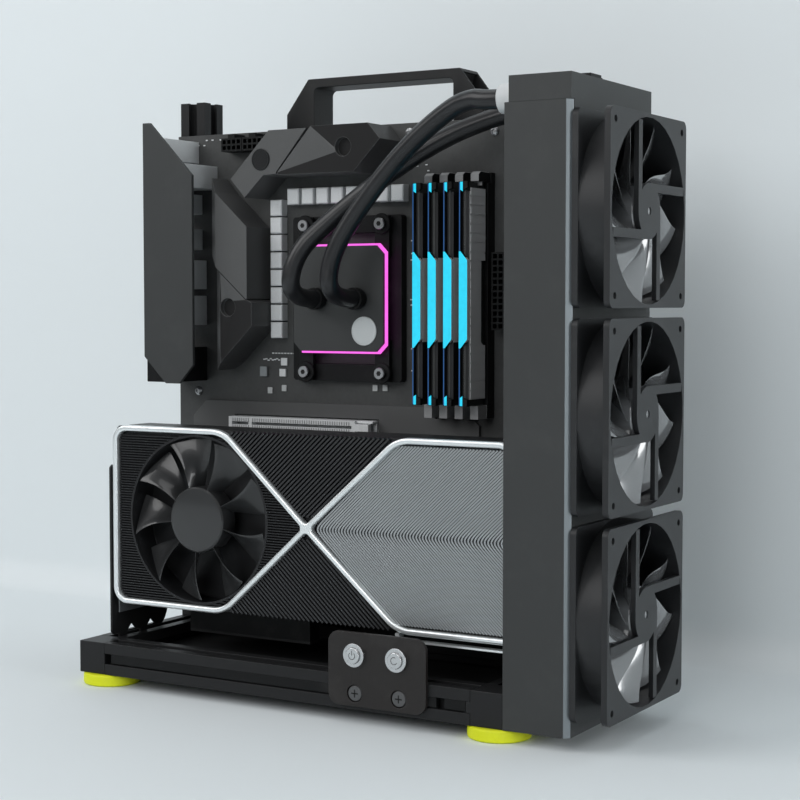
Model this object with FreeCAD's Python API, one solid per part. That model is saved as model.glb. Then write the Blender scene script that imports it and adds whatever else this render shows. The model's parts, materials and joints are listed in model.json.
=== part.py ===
import FreeCAD, Part
import math
import os

# Open air test bench: a slotted-bar base with two rear posts that carry a circuit board
# tray, an upright graphics card in front of the board, a liquid cooled processor block and
# a three fan radiator that stands along the right end.
# All sizes are in millimetres. They are laid out in a bench frame whose X runs along the
# front of the base from its left end, Y runs backwards from its front face and Z runs up
# from the underside of its rails. The finished pieces are moved so that the origin is the
# middle of the footprint, on the floor.

# Slotted bars
bar = 22.8
slot_mouth = 7.5
slot_lip = 2.2
slot_room = 13.2
slot_step = 1.4
slot_floor = 6.8
slot_depth = 6.8
bar_bore_radius = 2.4

# Base and posts
base_length = 342.0
base_depth = 145.0
post_length = 394.6
tongue_length = 3.2
floor_thickness = 2.0
floor_reach = 4.0
foot_radius = 20.5
foot_height = 8.5
foot_inset = 16.4
foot_step = 6.0

# Cover strips in the slot of the front rail
cover_start = 6.2
cover_line = 1.2
cover_wing = 1.2
cover_wing_height = 11.0
cover_lap = 5.0
cover_pocket = 12.0

# Board tray, its standoffs and its cut-out behind the processor
tray_thickness = 3.0
tray_top = 392.0
tray_window_width = 112.0
tray_window_height = 124.0
standoff_length = 7.2
standoff_width = 7.0
standoff_inset = 9.0
standoff_left = 24.9
standoff_row = 198.1

# Carrying handle
handle_left = 100.2
handle_width = 164.2
handle_crown_width = 126.4
handle_shoulder = 11.4
handle_rise = 36.2
handle_grip = 6.6
handle_leg = 24.2
handle_depth = 26.0
handle_wall = 2.6
handle_corner = 4.0
handle_tab_drop = 15.0

# Main circuit board
board_left = 7.0
board_width = 286.0
board_height = 348.0
board_top_gap = 1.0
board_thickness = 2.0
lower_cover_top = 192.0
lower_cover_bottom = 58.0
lower_cover_left = 22.0
lower_cover_right = 268.0
lower_cover_height = 3.0
lower_cover_chamfer = 12.0

# Ports along the left edge and the cover plate over them
port_reach = 41.0
port_wall = 1.5
port_depth = 3.6
port_left = 8.0
port_spans = (
    (26.5, 370.0, 386.0),
    (43.8, 349.7, 367.0),
    (29.4, 331.7, 346.3),
    (29.4, 305.0, 320.5),
    (33.0, 275.4, 297.0),
    (33.0, 248.5, 270.4),
    (33.0, 206.5, 232.0),
)
io_cover_thickness = 3.0
io_cover_left = 7.7
io_cover_right = 52.8
io_cover_top = 397.4
io_cover_bottom = 205.8
io_cover_shoulder = 357.8
io_cover_lower_left = 225.3
io_cover_lower_right = 219.5
io_cover_crown = 6.5
io_cover_foot_left = 27.5
io_cover_foot_right = 40.3

# Heatsinks of the supply circuit, their chokes and the plug sockets
sink_height = 30.0
sink_recess_radius = 6.6
sink_recess_depth = 4.0
sink_slope = 10.0
upper_sink = (
    (53.2, 357.2),
    (53.2, 300.2),
    (57.4, 296.2),
    (90.4, 267.8),
    (91.4, 267.8),
    (91.4, 320.1),
    (63.1, 345.9),
)
lower_sink = (
    (57.4, 295.6),
    (57.4, 215.2),
    (67.1, 220.8),
    (95.6, 248.2),
    (95.6, 265.2),
    (91.8, 267.0),
    (90.2, 267.2),
)
corner_sink = (
    (77.4, 354.7),
    (89.8, 341.0),
    (106.4, 356.5),
    (117.6, 357.0),
    (117.6, 358.4),
    (143.5, 388.4),
    (111.0, 388.4),
)
top_sink = (
    (118.4, 356.3),
    (182.8, 356.3),
    (204.5, 378.3),
    (194.6, 389.6),
    (147.0, 389.6),
    (118.4, 358.0),
)
lower_sink_recess = (74.4, 261.8)
top_sink_recess = (174.3, 373.9)
badge_place = (104.4, 367.8)
badge_radius = 7.7
badge_thickness = 0.8
choke_width = 10.2
choke_length = 11.7
choke_height = 8.0
choke_edge = 0.8
choke_count = 8
choke_column_x = 96.7
choke_column_bottom = 239.3
choke_column_pitch = 12.75
choke_row_left = 111.7
choke_row_bottom = 336.3
choke_row_pitch = 12.6
plug_cell = 4.3
plug_opening = 2.9
plug_height = 13.0
plug_rim = 0.6
eps_left = 56.6
eps_bottom = 376.6
plug_latch_width = 6.0
plug_latch_height = 2.8
atx_left = 282.4
atx_bottom = 246.5

# Memory
module_count = 4
module_left = 235.1
module_pitch = 12.0
module_width = 6.4
module_reach = 38.0
module_low = 195.6
module_high = 346.0
module_board = 1.4
spreader_low = 200.0
spreader_high = 339.5
spreader_gap = 12.0
spreader_waist_gap = 18.0
spreader_waist_low = 238.6
spreader_waist_high = 295.4
light_bar_depth = 3.0
light_line = 1.3
light_slant = 4.0
slot_end_low = 186.0
slot_end_high = 353.6
memory_slot_height = 10.0
memory_slot_width = 8.0
latch_width = 6.2
latch_reach = 22.0
latch_foot = 4.2
latch_heel = 1.4
latch_length = 6.8
latch_clearance = 0.35
hook_drop = 1.8
hook_height = 3.0
hook_reach = 17.2
notch_front_room = 1.8
notch_side_room = 0.4

# Expansion slot and its latch
pcie_left = 62.0
pcie_length = 111.0
pcie_bottom = 171.4
pcie_width = 9.6
pcie_height = 12.8
pcie_groove = 2.2
pcie_groove_depth = 9.0
pcie_latch_length = 13.0
pcie_latch_pivot = 2.2

# Processor, pump block and its bracket
block_centre_x = 162.4
block_centre_z = 268.0
block_width = 75.6
block_height = 74.6
block_corner = 6.0
socket_width = 92.0
socket_height = 118.0
socket_bar = 12.4
socket_bar_height = 7.0
processor_width = 46.0
processor_thickness = 5.0
cold_plate_width = 58.0
cold_plate_thickness = 3.5
pump_body_thickness = 6.0
ring_thickness = 1.5
ring_overhang = 1.5
cover_plate_thickness = 2.5
bracket_hole_x = 64.2
bracket_hole_z = 105.2
bracket_leg = 12.0
bracket_leg_lap = 8.0
bracket_thickness = 2.4
block_badge_radius = 10.3
block_badge_thickness = 0.8
block_badge_right = 22.2
block_badge_low = 22.8

# Hose fittings and hoses
hose_radius = 6.4
fitting_radius = 7.8
fitting_length = 6.0
fitting_neck_radius = 7.0
fitting_neck_length = 2.4
fitting_z = 268.0
front_fitting_x = 179.7
rear_fitting_x = 146.5
port_drop = 10.0
port_spread = 31.0
port_collar_radius = 9.5
port_collar_length = 20.0
front_hose_rise = (
    (0.0, 0.0, 0.0),
    (0.0, -31.6, 0.0),
    (1.6, -30.1, 30.0),
    (26.3, -30.1, 63.5),
    (63.3, -35.1, 99.0),
)
front_hose_entry = (
    (-42.0, 9.7, -1.5),
    (-22.0, 3.2, 2.2),
    (-12.0, 0.0, 0.0),
    (0.0, 0.0, 0.0),
)
rear_hose_rise = (
    (0.0, 0.0, 0.0),
    (0.0, -31.6, 0.0),
    (6.0, -30.6, 31.5),
    (29.0, -21.1, 54.0),
    (68.5, -12.6, 84.0),
    (111.5, -5.1, 109.0),
)
rear_hose_entry = (
    (-29.0, -4.3, -2.5),
    (-12.0, 0.0, 0.0),
    (0.0, 0.0, 0.0),
)

# Radiator, its shroud and the front panel
shroud_left = 3.0
shroud_width = 45.0
shroud_depth = 122.6
shroud_headroom = 21.1
shroud_wall = 3.0
panel_drop = 16.0
panel_thickness = 4.6
panel_chamfer = 3.4
core_thickness = 27.0
core_bottom = 14.0
tank_height = 24.0
tank_inset = 4.0
core_tubes = 10
core_tube_relief = 1.0
core_tube_width = 2.4
fill_cap_length = 16.0
fill_cap_width = 7.0
fill_cap_height = 3.0
fill_cap_y = 34.0

# Radiator fans
fan_count = 3
fan_size = 120.0
fan_thickness = 25.0
fan_gap = 6.2
fan_bottom = 9.5
fan_flange = 4.0
fan_bore_radius = 57.6
fan_barrel_radius = 59.6
fan_hole_pitch = 105.0
fan_hole_radius = 2.15
fan_corner = 5.0
fan_side_count = 36
stator_radius = 17.4
stator_thickness = 3.2
stator_hole_radius = 2.6
strut_width = 5.6
window_chamfer = 30.0
window_size = 113.0

# Blades of both kinds of fan
blade_count = 9
hub_side_count = 18
hub_side_drop = 0.3
blade_thickness = 1.4
blade_share = 0.82
blade_belly = 0.12
blade_root_depth = 1.0
blade_bands = 3
blade_strips = 2
lead_curve = 2.2
rotor_radius = 56.3
rotor_hub_radius = 17.6
rotor_length = 17.0
rotor_gap = 0.5
shaft_radius = 2.5
shaft_length = 2.6
rotor_phase = 31.2
rotor_spans = (46.0, 26.0, 46.0)

# Graphics card
card_left = 13.7
card_front = 21.0
card_bottom = 48.2
card_end_gap = 2.7
card_height = 129.2
card_thickness = 46.0
frame_bar = 4.7
frame_depth = 6.0
frame_corner = 12.0
frame_cross_x = 181.0
frame_shoulder_left = 112.6
frame_shoulder_right = 252.0
frame_tip_overlap = 6.0
frame_lip_drop = 4.6
frame_lip_bar = 1.2
frame_lip_end = 3.0
card_bay_radius = 58.9
card_fan_x = 88.4
card_fan_inset = 75.0
card_bay_depth = 19.0
card_hub_radius = 23.3
card_rotor_length = 15.0
card_rotor_phase = 14.0
card_spans = (12.0, 28.0, -9.0)
card_blade_radius = 56.6
card_post_radius = 6.0
card_pin_radius = 2.0
card_pin_length = 3.0
card_pin_clearance = 0.05
card_rotor_inset = 1.0
side_fin_pitch = 5.52
side_fin_thickness = 1.8
side_fin_depth = 3.2
middle_fin_pitch = 5.1
middle_fin_thickness = 1.5
middle_fin_inset = 3.0
middle_fin_tip = 8.0
fin_gap = 0.3
side_fin_gap = 1.0
grille_pitch = 7.2
grille_thickness = 3.6
grille_set_back = 2.4
card_board_thickness = 1.9
card_board_length = 178.0
card_board_gap = 1.6
back_plate_thickness = 1.4
edge_left = 60.0
edge_length = 97.0
edge_drop = 11.0
bracket_plate_thickness = 1.2

# Riser socket and the sheet pieces that hold the card
riser_width = 12.0
riser_height = 11.0
riser_groove = 2.2
riser_end = 4.0
shelf_thickness = 2.0
shelf_rise = 5.0
shelf_flange = 16.0
holder_thickness = 1.8
holder_x = 11.4
holder_front = 20.4
holder_depth = 64.0
holder_top = 148.2
holder_bottom = 24.4
holder_tab = 5.0
holder_notch = 9.0
holder_hole_height = 4.6
holder_hole_base = 9.2

# Switch plate
plate_left = 215.2
plate_right = 288.9
plate_low = 2.9
plate_high = 51.6
plate_thickness = 3.0
plate_corner = 8.0
plate_screw_spacing = 33.2
button_height = 36.9
button_spacing = 31.8
bezel_radius = 7.8
bezel_height = 2.6
button_radius = 5.2
button_stand = 1.6
button_travel = 1.2
button_clearance = 0.05
switch_body_radius = 6.0
switch_body_length = 15.0
screw_recess_radius = 5.7
screw_recess_depth = 1.6

# Sizes that follow from the ones above
tray_front = base_depth - bar - tray_thickness
board_back = tray_front - standoff_length
board_front = board_back - board_thickness
module_front = board_front - module_reach
spreader_back = board_front - spreader_gap
spreader_waist = board_front - spreader_waist_gap
latch_front = board_front - latch_reach
hook_front = board_front - hook_reach
board_top = tray_top - board_top_gap
board_bottom = board_top - board_height
board_right = board_left + board_width
card_right = base_length - card_end_gap
card_top = card_bottom + card_height
card_middle = (card_bottom + card_top) / 2
card_back = card_front + card_thickness
block_back = board_front - processor_thickness
block_front = (
    block_back - cold_plate_thickness - pump_body_thickness - ring_thickness - cover_plate_thickness
)
radiator_left = base_length
shroud_right = radiator_left + shroud_width
shroud_middle = shroud_depth / 2
fan_back = shroud_right
fan_front = fan_back + fan_thickness
fan_pitch = fan_size + fan_gap
shroud_height = fan_bottom + fan_count * fan_pitch - fan_gap + shroud_headroom
panel_height = shroud_height - panel_drop
core_top = shroud_height - tank_height
port_height = shroud_height - port_drop
port_x = radiator_left + shroud_left - port_collar_length
fitting_front = block_front - fitting_neck_length - fitting_length
fan_names = ("bottom", "middle", "top")
overall_left = foot_inset - foot_radius
overall_front = -(plate_thickness + bezel_height + button_stand)
overall_back = base_depth - foot_inset + foot_radius
origin = FreeCAD.Vector(
    (overall_left + fan_front) / 2,
    (overall_front + overall_back) / 2,
    -foot_height,
)

nodes = {}


def add(name, *shapes):
    """Keep the solids of one node."""
    nodes.setdefault(name, []).extend(shapes)


def vector(x, y, z):
    return FreeCAD.Vector(x, y, z)


def block(x0, x1, y0, y1, z0, z1):
    """A box between two corners."""
    return Part.makeBox(x1 - x0, y1 - y0, z1 - z0, vector(x0, y0, z0))


def rod(x, y, z, axis, radius, length):
    """A cylinder that starts at a point and runs along X, Y or Z."""
    directions = {"X": vector(1, 0, 0), "Y": vector(0, 1, 0), "Z": vector(0, 0, 1)}
    return Part.makeCylinder(radius, length, vector(x, y, z), directions[axis])


def prism(points, axis, start, end):
    """A polygon, drawn in the plane across an axis, pulled from start to end along it."""
    places = {
        "X": lambda a, b: vector(start, a, b),
        "Y": lambda a, b: vector(a, start, b),
        "Z": lambda a, b: vector(a, b, start),
    }
    pulls = {
        "X": vector(end - start, 0, 0),
        "Y": vector(0, end - start, 0),
        "Z": vector(0, 0, end - start),
    }
    corners = [places[axis](a, b) for a, b in points]
    corners.append(corners[0])
    return Part.Face(Part.makePolygon(corners)).extrude(pulls[axis])


def many_sided(radius, sides, start, end, turn=0.0):
    """A regular prism about the X axis whose sides touch a circle of the radius."""
    reach = radius / math.cos(math.pi / sides)
    points = []
    for side in range(sides):
        angle = math.radians(turn + (side + 0.5) * 360 / sides)
        points.append((reach * math.cos(angle), reach * math.sin(angle)))
    return prism(points, "X", start, end)


def rounded(shape, axis, radius, chosen=None):
    """Round the edges that run along an axis, or those of them that a test picks."""
    direction = {"X": vector(1, 0, 0), "Y": vector(0, 1, 0), "Z": vector(0, 0, 1)}[axis]
    edges = []
    for edge in shape.Edges:
        if not isinstance(edge.Curve, Part.Line):
            continue
        if abs(abs(edge.tangentAt(edge.FirstParameter).dot(direction)) - 1) > 1e-6:
            continue
        if chosen is None or chosen(edge.CenterOfMass):
            edges.append(edge)
    return shape.makeFillet(radius, edges)


def rectangle(x0, x1, z0, z1, corner):
    """A rectangle with cut corners, as points."""
    return [
        (x0 + corner, z0),
        (x1 - corner, z0),
        (x1, z0 + corner),
        (x1, z1 - corner),
        (x1 - corner, z1),
        (x0 + corner, z1),
        (x0, z1 - corner),
        (x0, z0 + corner),
    ]


# Base, posts and feet


def slotted_bar(length, bored):
    """A square bar that stands on the origin, with one undercut slot in each side."""
    half = bar / 2
    side = [
        (-half, -half),
        (-slot_mouth / 2, -half),
        (-slot_mouth / 2, -half + slot_lip),
        (-slot_room / 2, -half + slot_lip),
        (-slot_room / 2, -half + slot_lip + slot_step),
        (-slot_floor / 2, -half + slot_depth),
        (slot_floor / 2, -half + slot_depth),
        (slot_room / 2, -half + slot_lip + slot_step),
        (slot_room / 2, -half + slot_lip),
        (slot_mouth / 2, -half + slot_lip),
        (slot_mouth / 2, -half),
    ]
    points = []
    for quarter in range(4):
        c = round(math.cos(math.radians(90 * quarter)))
        s = round(math.sin(math.radians(90 * quarter)))
        points += [(x * c - y * s, x * s + y * c) for x, y in side]
    shape = prism(points, "Z", 0, length)
    if bored:
        shape = shape.cut(rod(0, 0, 0, "Z", bar_bore_radius, length))
    return shape


def base_rail(axis, x, y, length):
    """A bar laid down along X or Y at the height of the base."""
    shape = slotted_bar(length, False)
    if axis == "X":
        shape.rotate(vector(0, 0, 0), vector(0, 1, 0), 90)
    else:
        shape.rotate(vector(0, 0, 0), vector(1, 0, 0), -90)
    shape.translate(vector(x, y, bar / 2))
    return shape


def make_base():
    long_rail = base_length - 2 * bar
    short_rail = base_depth - 2 * bar
    add("base_rails", base_rail("X", bar, bar / 2, long_rail))
    add("base_rails", base_rail("X", bar, base_depth - bar / 2, long_rail))
    add("base_rails", base_rail("Y", bar / 2, bar, short_rail))
    add("base_rails", base_rail("Y", base_length - bar / 2, bar, short_rail))
    for x in (0, base_length - bar):
        for y in (0, base_depth - bar):
            corner = block(x, x + bar, y, y + bar, 0, bar)
            if x > 0:
                face = y if y == 0 else y + bar - slot_lip
                tongue = block(
                    x - tongue_length,
                    x,
                    face,
                    face + slot_lip,
                    (bar - slot_mouth) / 2,
                    (bar + slot_mouth) / 2,
                )
                corner = corner.fuse(tongue).removeSplitter()
            add("corner_blocks", corner)
        post = slotted_bar(post_length, True)
        post.translate(vector(x + bar / 2, base_depth - bar / 2, bar))
        add("rear_posts", post)
    for x in (foot_inset, base_length - (foot_inset - foot_step)):
        for y in (foot_inset, base_depth - foot_inset):
            add("feet", rod(x, y, -foot_height, "Z", foot_radius, foot_height))


def make_floor():
    """The sheet between the rails, with its edges in their inner slots."""
    low = (bar - slot_mouth) / 2
    high = low + floor_thickness
    wide = block(
        bar - floor_reach,
        base_length - bar + floor_reach,
        bar,
        base_depth - bar,
        low,
        high,
    )
    deep = block(
        bar,
        base_length - bar,
        bar - floor_reach,
        base_depth - bar + floor_reach,
        low,
        high,
    )
    add("base_plate", wide.fuse(deep).removeSplitter())


def slot_cover(x0, x1):
    """A strip that fills the front slot and clips behind its lips."""
    middle = bar / 2
    points = [
        (0, middle - slot_mouth / 2 + cover_line),
        (slot_lip, middle - slot_mouth / 2 + cover_line),
        (slot_lip, middle - cover_wing_height / 2),
        (slot_lip + cover_wing, middle - cover_wing_height / 2),
        (slot_lip + cover_wing, middle + cover_wing_height / 2),
        (slot_lip, middle + cover_wing_height / 2),
        (slot_lip, middle + slot_mouth / 2),
        (0, middle + slot_mouth / 2),
    ]
    return prism(points, "X", x0, x1)


def make_slot_covers():
    add("slot_covers", slot_cover(bar + cover_start, plate_left + cover_lap))
    add("slot_covers", slot_cover(plate_right - cover_lap, plate_right + cover_pocket / 2))
    add("slot_covers", slot_cover(plate_right + cover_pocket, base_length - bar - tongue_length))


# Tray, handle and main board


def standoff_places():
    """The nine screw places of the board, as X and Z."""
    xs = [standoff_left, board_left + board_width / 2, board_right - standoff_inset]
    zs = [board_bottom + standoff_inset, standoff_row, board_top - standoff_inset]
    return [(x, z) for x in xs for z in zs]


def make_tray():
    tray = block(0, base_length, tray_front, tray_front + tray_thickness, bar, tray_top)
    window = prism(
        rectangle(
            block_centre_x - tray_window_width / 2,
            block_centre_x + tray_window_width / 2,
            block_centre_z - tray_window_height / 2,
            block_centre_z + tray_window_height / 2,
            handle_corner,
        ),
        "Y",
        tray_front,
        tray_front + tray_thickness,
    )
    tray = tray.cut(window)
    half = standoff_width / 2
    for x, z in standoff_places():
        points = []
        for corner in range(6):
            turn = math.radians(60 * corner)
            points.append((x + half * math.cos(turn), z + half * math.sin(turn)))
        tray = tray.fuse(prism(points, "Y", board_back, tray_front))
    add("motherboard_tray", tray.removeSplitter())


def make_handle():
    left = handle_left
    right = left + handle_width
    slope = (handle_width - handle_crown_width) / 2
    low = tray_top
    shoulder = low + handle_shoulder
    high = low + handle_rise
    front = tray_front
    back = front + handle_depth
    outline = [
        (left, low),
        (right, low),
        (right, shoulder),
        (right - slope, high),
        (left + slope, high),
        (left, shoulder),
    ]
    body = prism(outline, "Y", front, back)
    inner_left = left + handle_leg
    inner_right = right - handle_leg
    inner_high = high - handle_grip
    window = block(inner_left, inner_right, front, back, low - 1, inner_high)
    window = rounded(window, "Y", handle_corner, lambda p: p.z > low)
    body = body.cut(window)
    for side in (-1, 1):
        edge = left if side < 0 else right
        wall = inner_left if side < 0 else inner_right
        hollow = [
            (edge + side, low + handle_wall),
            (wall + side * handle_wall, low + handle_wall),
            (wall + side * handle_wall, inner_high),
            (edge - side * slope, high - handle_wall),
            (edge + side, high - handle_wall),
        ]
        body = body.cut(prism(hollow, "Y", front + handle_wall, back - handle_wall))
        inner = wall
        tab = block(
            min(edge, inner),
            max(edge, inner),
            front + tray_thickness,
            front + 2 * tray_thickness,
            low - handle_tab_drop,
            low,
        )
        body = body.fuse(tab)
    add("handle", body.removeSplitter())


def make_board():
    add("motherboard", block(board_left, board_right, board_front, board_back, board_bottom, board_top))
    points = [
        (lower_cover_left, lower_cover_bottom),
        (lower_cover_right, lower_cover_bottom),
        (lower_cover_right, lower_cover_top - lower_cover_chamfer),
        (lower_cover_right - lower_cover_chamfer, lower_cover_top),
        (lower_cover_left + lower_cover_chamfer, lower_cover_top),
        (lower_cover_left, lower_cover_top - lower_cover_chamfer),
    ]
    cover = prism(points, "Y", board_front - lower_cover_height, board_front)
    gap = 1.0
    slot_room_box = block(
        pcie_left - gap,
        pcie_left + pcie_length + pcie_latch_length + gap,
        board_front - lower_cover_height,
        board_front,
        pcie_bottom - gap,
        pcie_bottom + pcie_width + gap,
    )
    memory_room = block(
        module_left - 2 * gap,
        board_right,
        board_front - lower_cover_height,
        board_front,
        slot_end_low - 2 * gap,
        lower_cover_top,
    )
    add("lower_board_cover", cover.cut(slot_room_box).cut(memory_room))


def make_ports():
    front = board_front - port_reach
    for right, low, high in port_spans:
        shell = block(port_left, right, front, board_front, low, high)
        room = block(
            port_left,
            port_left + port_depth,
            front + port_wall,
            board_front - 2 * port_wall,
            low + port_wall,
            high - port_wall,
        )
        add("io_ports", shell.cut(room))
    outline = [
        (io_cover_left, io_cover_lower_left),
        (io_cover_foot_left, io_cover_bottom),
        (io_cover_foot_right, io_cover_bottom),
        (io_cover_right, io_cover_lower_right),
        (io_cover_right, io_cover_shoulder),
        (io_cover_left + io_cover_crown, io_cover_top),
        (io_cover_left, io_cover_top),
    ]
    add("io_cover", prism(outline, "Y", front - io_cover_thickness, front))


def sink(points, hole=None, slope_x=None):
    """A solid heatsink on the board, with an optional round recess and a sloped left side."""
    front = board_front - sink_height
    shape = prism(points, "Y", front, board_front)
    if slope_x is not None:
        wedge = [
            (slope_x - 1, front - 1),
            (slope_x + sink_slope, front - 1),
            (slope_x + sink_slope, front),
            (slope_x, front + sink_slope),
            (slope_x - 1, front + sink_slope),
        ]
        shape = shape.cut(prism(wedge, "Z", board_bottom, board_top))
    if hole is not None:
        shape = shape.cut(rod(hole[0], front, hole[1], "Y", sink_recess_radius, sink_recess_depth))
    return shape


def make_heatsinks():
    add("vrm_heatsinks", sink(upper_sink, slope_x=upper_sink[0][0]))
    add("vrm_heatsinks", sink(lower_sink, hole=lower_sink_recess, slope_x=lower_sink[0][0]))
    add("vrm_heatsinks", sink(corner_sink))
    add("vrm_heatsinks", sink(top_sink, hole=top_sink_recess))
    face = board_front - sink_height - badge_thickness
    add("badges", rod(badge_place[0], face, badge_place[1], "Y", badge_radius, badge_thickness))


def choke(x, z, width, length):
    """A coil housing with bevelled front edges."""
    front = board_front - choke_height
    base = block(x, x + width, front, board_front, z, z + length)
    edges = [edge for edge in base.Edges if abs(edge.CenterOfMass.y - front) < 1e-6]
    return base.makeChamfer(choke_edge, edges)


def make_chokes():
    for index in range(choke_count):
        z = choke_column_bottom + index * choke_column_pitch
        add("vrm_chokes", choke(choke_column_x, z, choke_width, choke_length))
        x = choke_row_left + index * choke_row_pitch
        add("vrm_chokes", choke(x, choke_row_bottom, choke_width, choke_length))


def plug_socket(x, z, columns, rows):
    """A plug socket with one square opening for each contact."""
    width = columns * plug_cell + 2 * plug_rim
    height = rows * plug_cell + 2 * plug_rim
    front = board_front - plug_height
    shape = block(x, x + width, front, board_front, z, z + height)
    rooms = []
    inset = plug_rim + (plug_cell - plug_opening) / 2
    for column in range(columns):
        for row in range(rows):
            x0 = x + inset + column * plug_cell
            z0 = z + inset + row * plug_cell
            rooms.append(
                block(x0, x0 + plug_opening, front, board_front - 3, z0, z0 + plug_opening)
            )
    return shape.cut(Part.makeCompound(rooms))


def plug_latch(x, z):
    """The ledge on a plug socket that the plug's latch hooks over."""
    front = board_front - plug_height
    return block(x, x + plug_latch_width, front, board_front, z, z + plug_latch_height)


def make_plugs():
    pair = 4 * plug_cell + 2 * plug_rim
    for index in range(2):
        left = eps_left + index * (pair + 0.4)
        ledge = plug_latch(left + (pair - plug_latch_width) / 2, eps_bottom + 2 * plug_cell + 2 * plug_rim)
        socket = plug_socket(left, eps_bottom, 4, 2).fuse(ledge)
        add("power_connectors", socket.removeSplitter())
    add("power_connectors", plug_socket(atx_left, atx_bottom, 2, 12))


# Memory


def module_middle(index):
    return module_left + module_width / 2 + index * module_pitch


def make_memory():
    latch_seat = slot_end_high - latch_length - latch_clearance
    for index in range(module_count):
        middle = module_middle(index)
        x0 = middle - module_width / 2
        x1 = middle + module_width / 2
        make_memory_slot(middle, latch_seat)
        board = block(
            middle - module_board / 2,
            middle + module_board / 2,
            module_front + light_bar_depth,
            board_front - 3.0,
            module_low,
            module_high,
        )
        notch = block(
            middle - module_board,
            middle + module_board,
            hook_front - notch_front_room,
            hook_front + hook_height + notch_side_room,
            module_high - hook_drop - notch_side_room,
            module_high,
        )
        add("memory_boards", board.cut(notch))
        add("memory_spreaders", *spreader_halves(x0, x1, middle))
        add("memory_light_bars", light_bar(x0, x1))
        make_latch(index, middle)


def make_memory_slot(middle, latch_seat):
    """One long socket with a groove for the module and a fixed post at its lower end."""
    x0 = middle - memory_slot_width / 2
    x1 = middle + memory_slot_width / 2
    front = board_front - memory_slot_height
    body = block(x0, x1, front, board_front, slot_end_low, slot_end_high)
    groove = block(
        middle - module_board / 2,
        middle + module_board / 2,
        front,
        board_front - 3.0,
        module_low,
        module_high,
    )
    body = body.cut(groove)
    post = block(
        middle - latch_width / 2,
        middle + latch_width / 2,
        latch_front,
        front,
        slot_end_low,
        module_low - latch_clearance,
    )
    body = body.fuse(post)
    room = block(
        x0 - 1,
        x1 + 1,
        front,
        front + latch_foot + latch_clearance,
        latch_seat,
        slot_end_high,
    )
    add("memory_slots", body.cut(room).removeSplitter())


def spreader_halves(x0, x1, middle):
    """The two sheet halves of a heat spreader, one each side of the module's board."""
    outline = [
        (module_front + light_bar_depth, spreader_low),
        (spreader_back, spreader_low),
        (spreader_back, spreader_waist_low - light_slant),
        (spreader_waist, spreader_waist_low),
        (spreader_waist, spreader_waist_high),
        (spreader_back, spreader_waist_high + light_slant),
        (spreader_back, spreader_high),
        (module_front + light_bar_depth, spreader_high),
    ]
    left = prism(outline, "X", x0, middle - module_board / 2)
    right = prism(outline, "X", middle + module_board / 2, x1)
    return left, right


def light_bar(x0, x1):
    """The front strip of a module: a thin line that widens at the middle and at both ends."""
    line = x0 + light_line
    tip = 6.4
    points = [
        (x0, module_low),
        (x1, module_low),
        (x1, module_low + tip - 2),
        (line, module_low + tip),
        (line, spreader_waist_low - light_slant),
        (x1, spreader_waist_low + light_slant / 2),
        (x1, spreader_waist_high - light_slant / 2),
        (line, spreader_waist_high + light_slant),
        (line, module_high - tip),
        (x1, module_high - tip + 2),
        (x1, module_high),
        (x0, module_high),
    ]
    return prism(points, "Y", module_front, module_front + light_bar_depth)


def make_latch(index, middle):
    """The turning latch at the upper end of one socket, with a hook over the module."""
    low = slot_end_high - latch_length
    front = board_front - memory_slot_height
    points = [
        (latch_front, low),
        (hook_front, low),
        (hook_front, module_high - hook_drop),
        (hook_front + hook_height, module_high - hook_drop),
        (hook_front + hook_height, low),
        (front + latch_foot, low),
        (front + latch_foot, slot_end_high),
        (latch_front + 3.0, slot_end_high),
        (latch_front, slot_end_high - 2.0),
    ]
    shape = prism(points, "X", middle - latch_width / 2, middle + latch_width / 2)
    shape = rounded(shape, "X", latch_heel, lambda p: p.y > front and p.z > slot_end_high - 0.1)
    add("memory_latch_%d" % (index + 1), shape)


# Expansion slot


def make_pcie():
    front = board_front - pcie_height
    low = pcie_bottom
    high = pcie_bottom + pcie_width
    end = pcie_left + pcie_length
    body = block(pcie_left, end, front, board_front, low, high)
    middle = (low + high) / 2
    groove = block(
        pcie_left + 3.0,
        end - 3.0,
        front,
        front + pcie_groove_depth,
        middle - pcie_groove / 2,
        middle + pcie_groove / 2,
    )
    key = block(
        pcie_left + 18.0,
        pcie_left + 21.0,
        front,
        front + pcie_groove_depth,
        middle - pcie_groove / 2,
        middle + pcie_groove / 2,
    )
    cheek = 1.8
    base = block(end, end + pcie_latch_length, board_front - 4.0, board_front, low, high)
    ears = [
        block(end, end + pcie_latch_length, front + 3.0, board_front, low, low + cheek),
        block(end, end + pcie_latch_length, front + 3.0, board_front, high - cheek, high),
    ]
    body = body.cut(groove).fuse(key).fuse(base).fuse(ears[0]).fuse(ears[1])
    add("expansion_slots", body.removeSplitter())
    gap = 0.35
    pivot = pcie_pivot()
    tooth = [
        (end + gap, front + 4.0),
        (end + gap, front - 1.0),
        (end + 5.0, front - 2.4),
        (end + pcie_latch_length - 0.4, front - 2.4),
        (end + pcie_latch_length - 0.4, front + 1.6),
        (pivot[0] + pcie_latch_pivot, pivot[1]),
        (pivot[0] - pcie_latch_pivot, pivot[1]),
    ]
    start = low + cheek + gap
    heel = rod(pivot[0], pivot[1], start, "Z", pcie_latch_pivot, high - cheek - gap - start)
    add("pcie_latch", prism(tooth, "Z", start, high - cheek - gap).fuse(heel).removeSplitter())


def pcie_pivot():
    """The turning point of the expansion slot's latch, as X and Y."""
    return (pcie_left + pcie_length + pcie_latch_length / 2 + 1.0, board_front - 6.8)


# Processor and pump block


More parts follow.
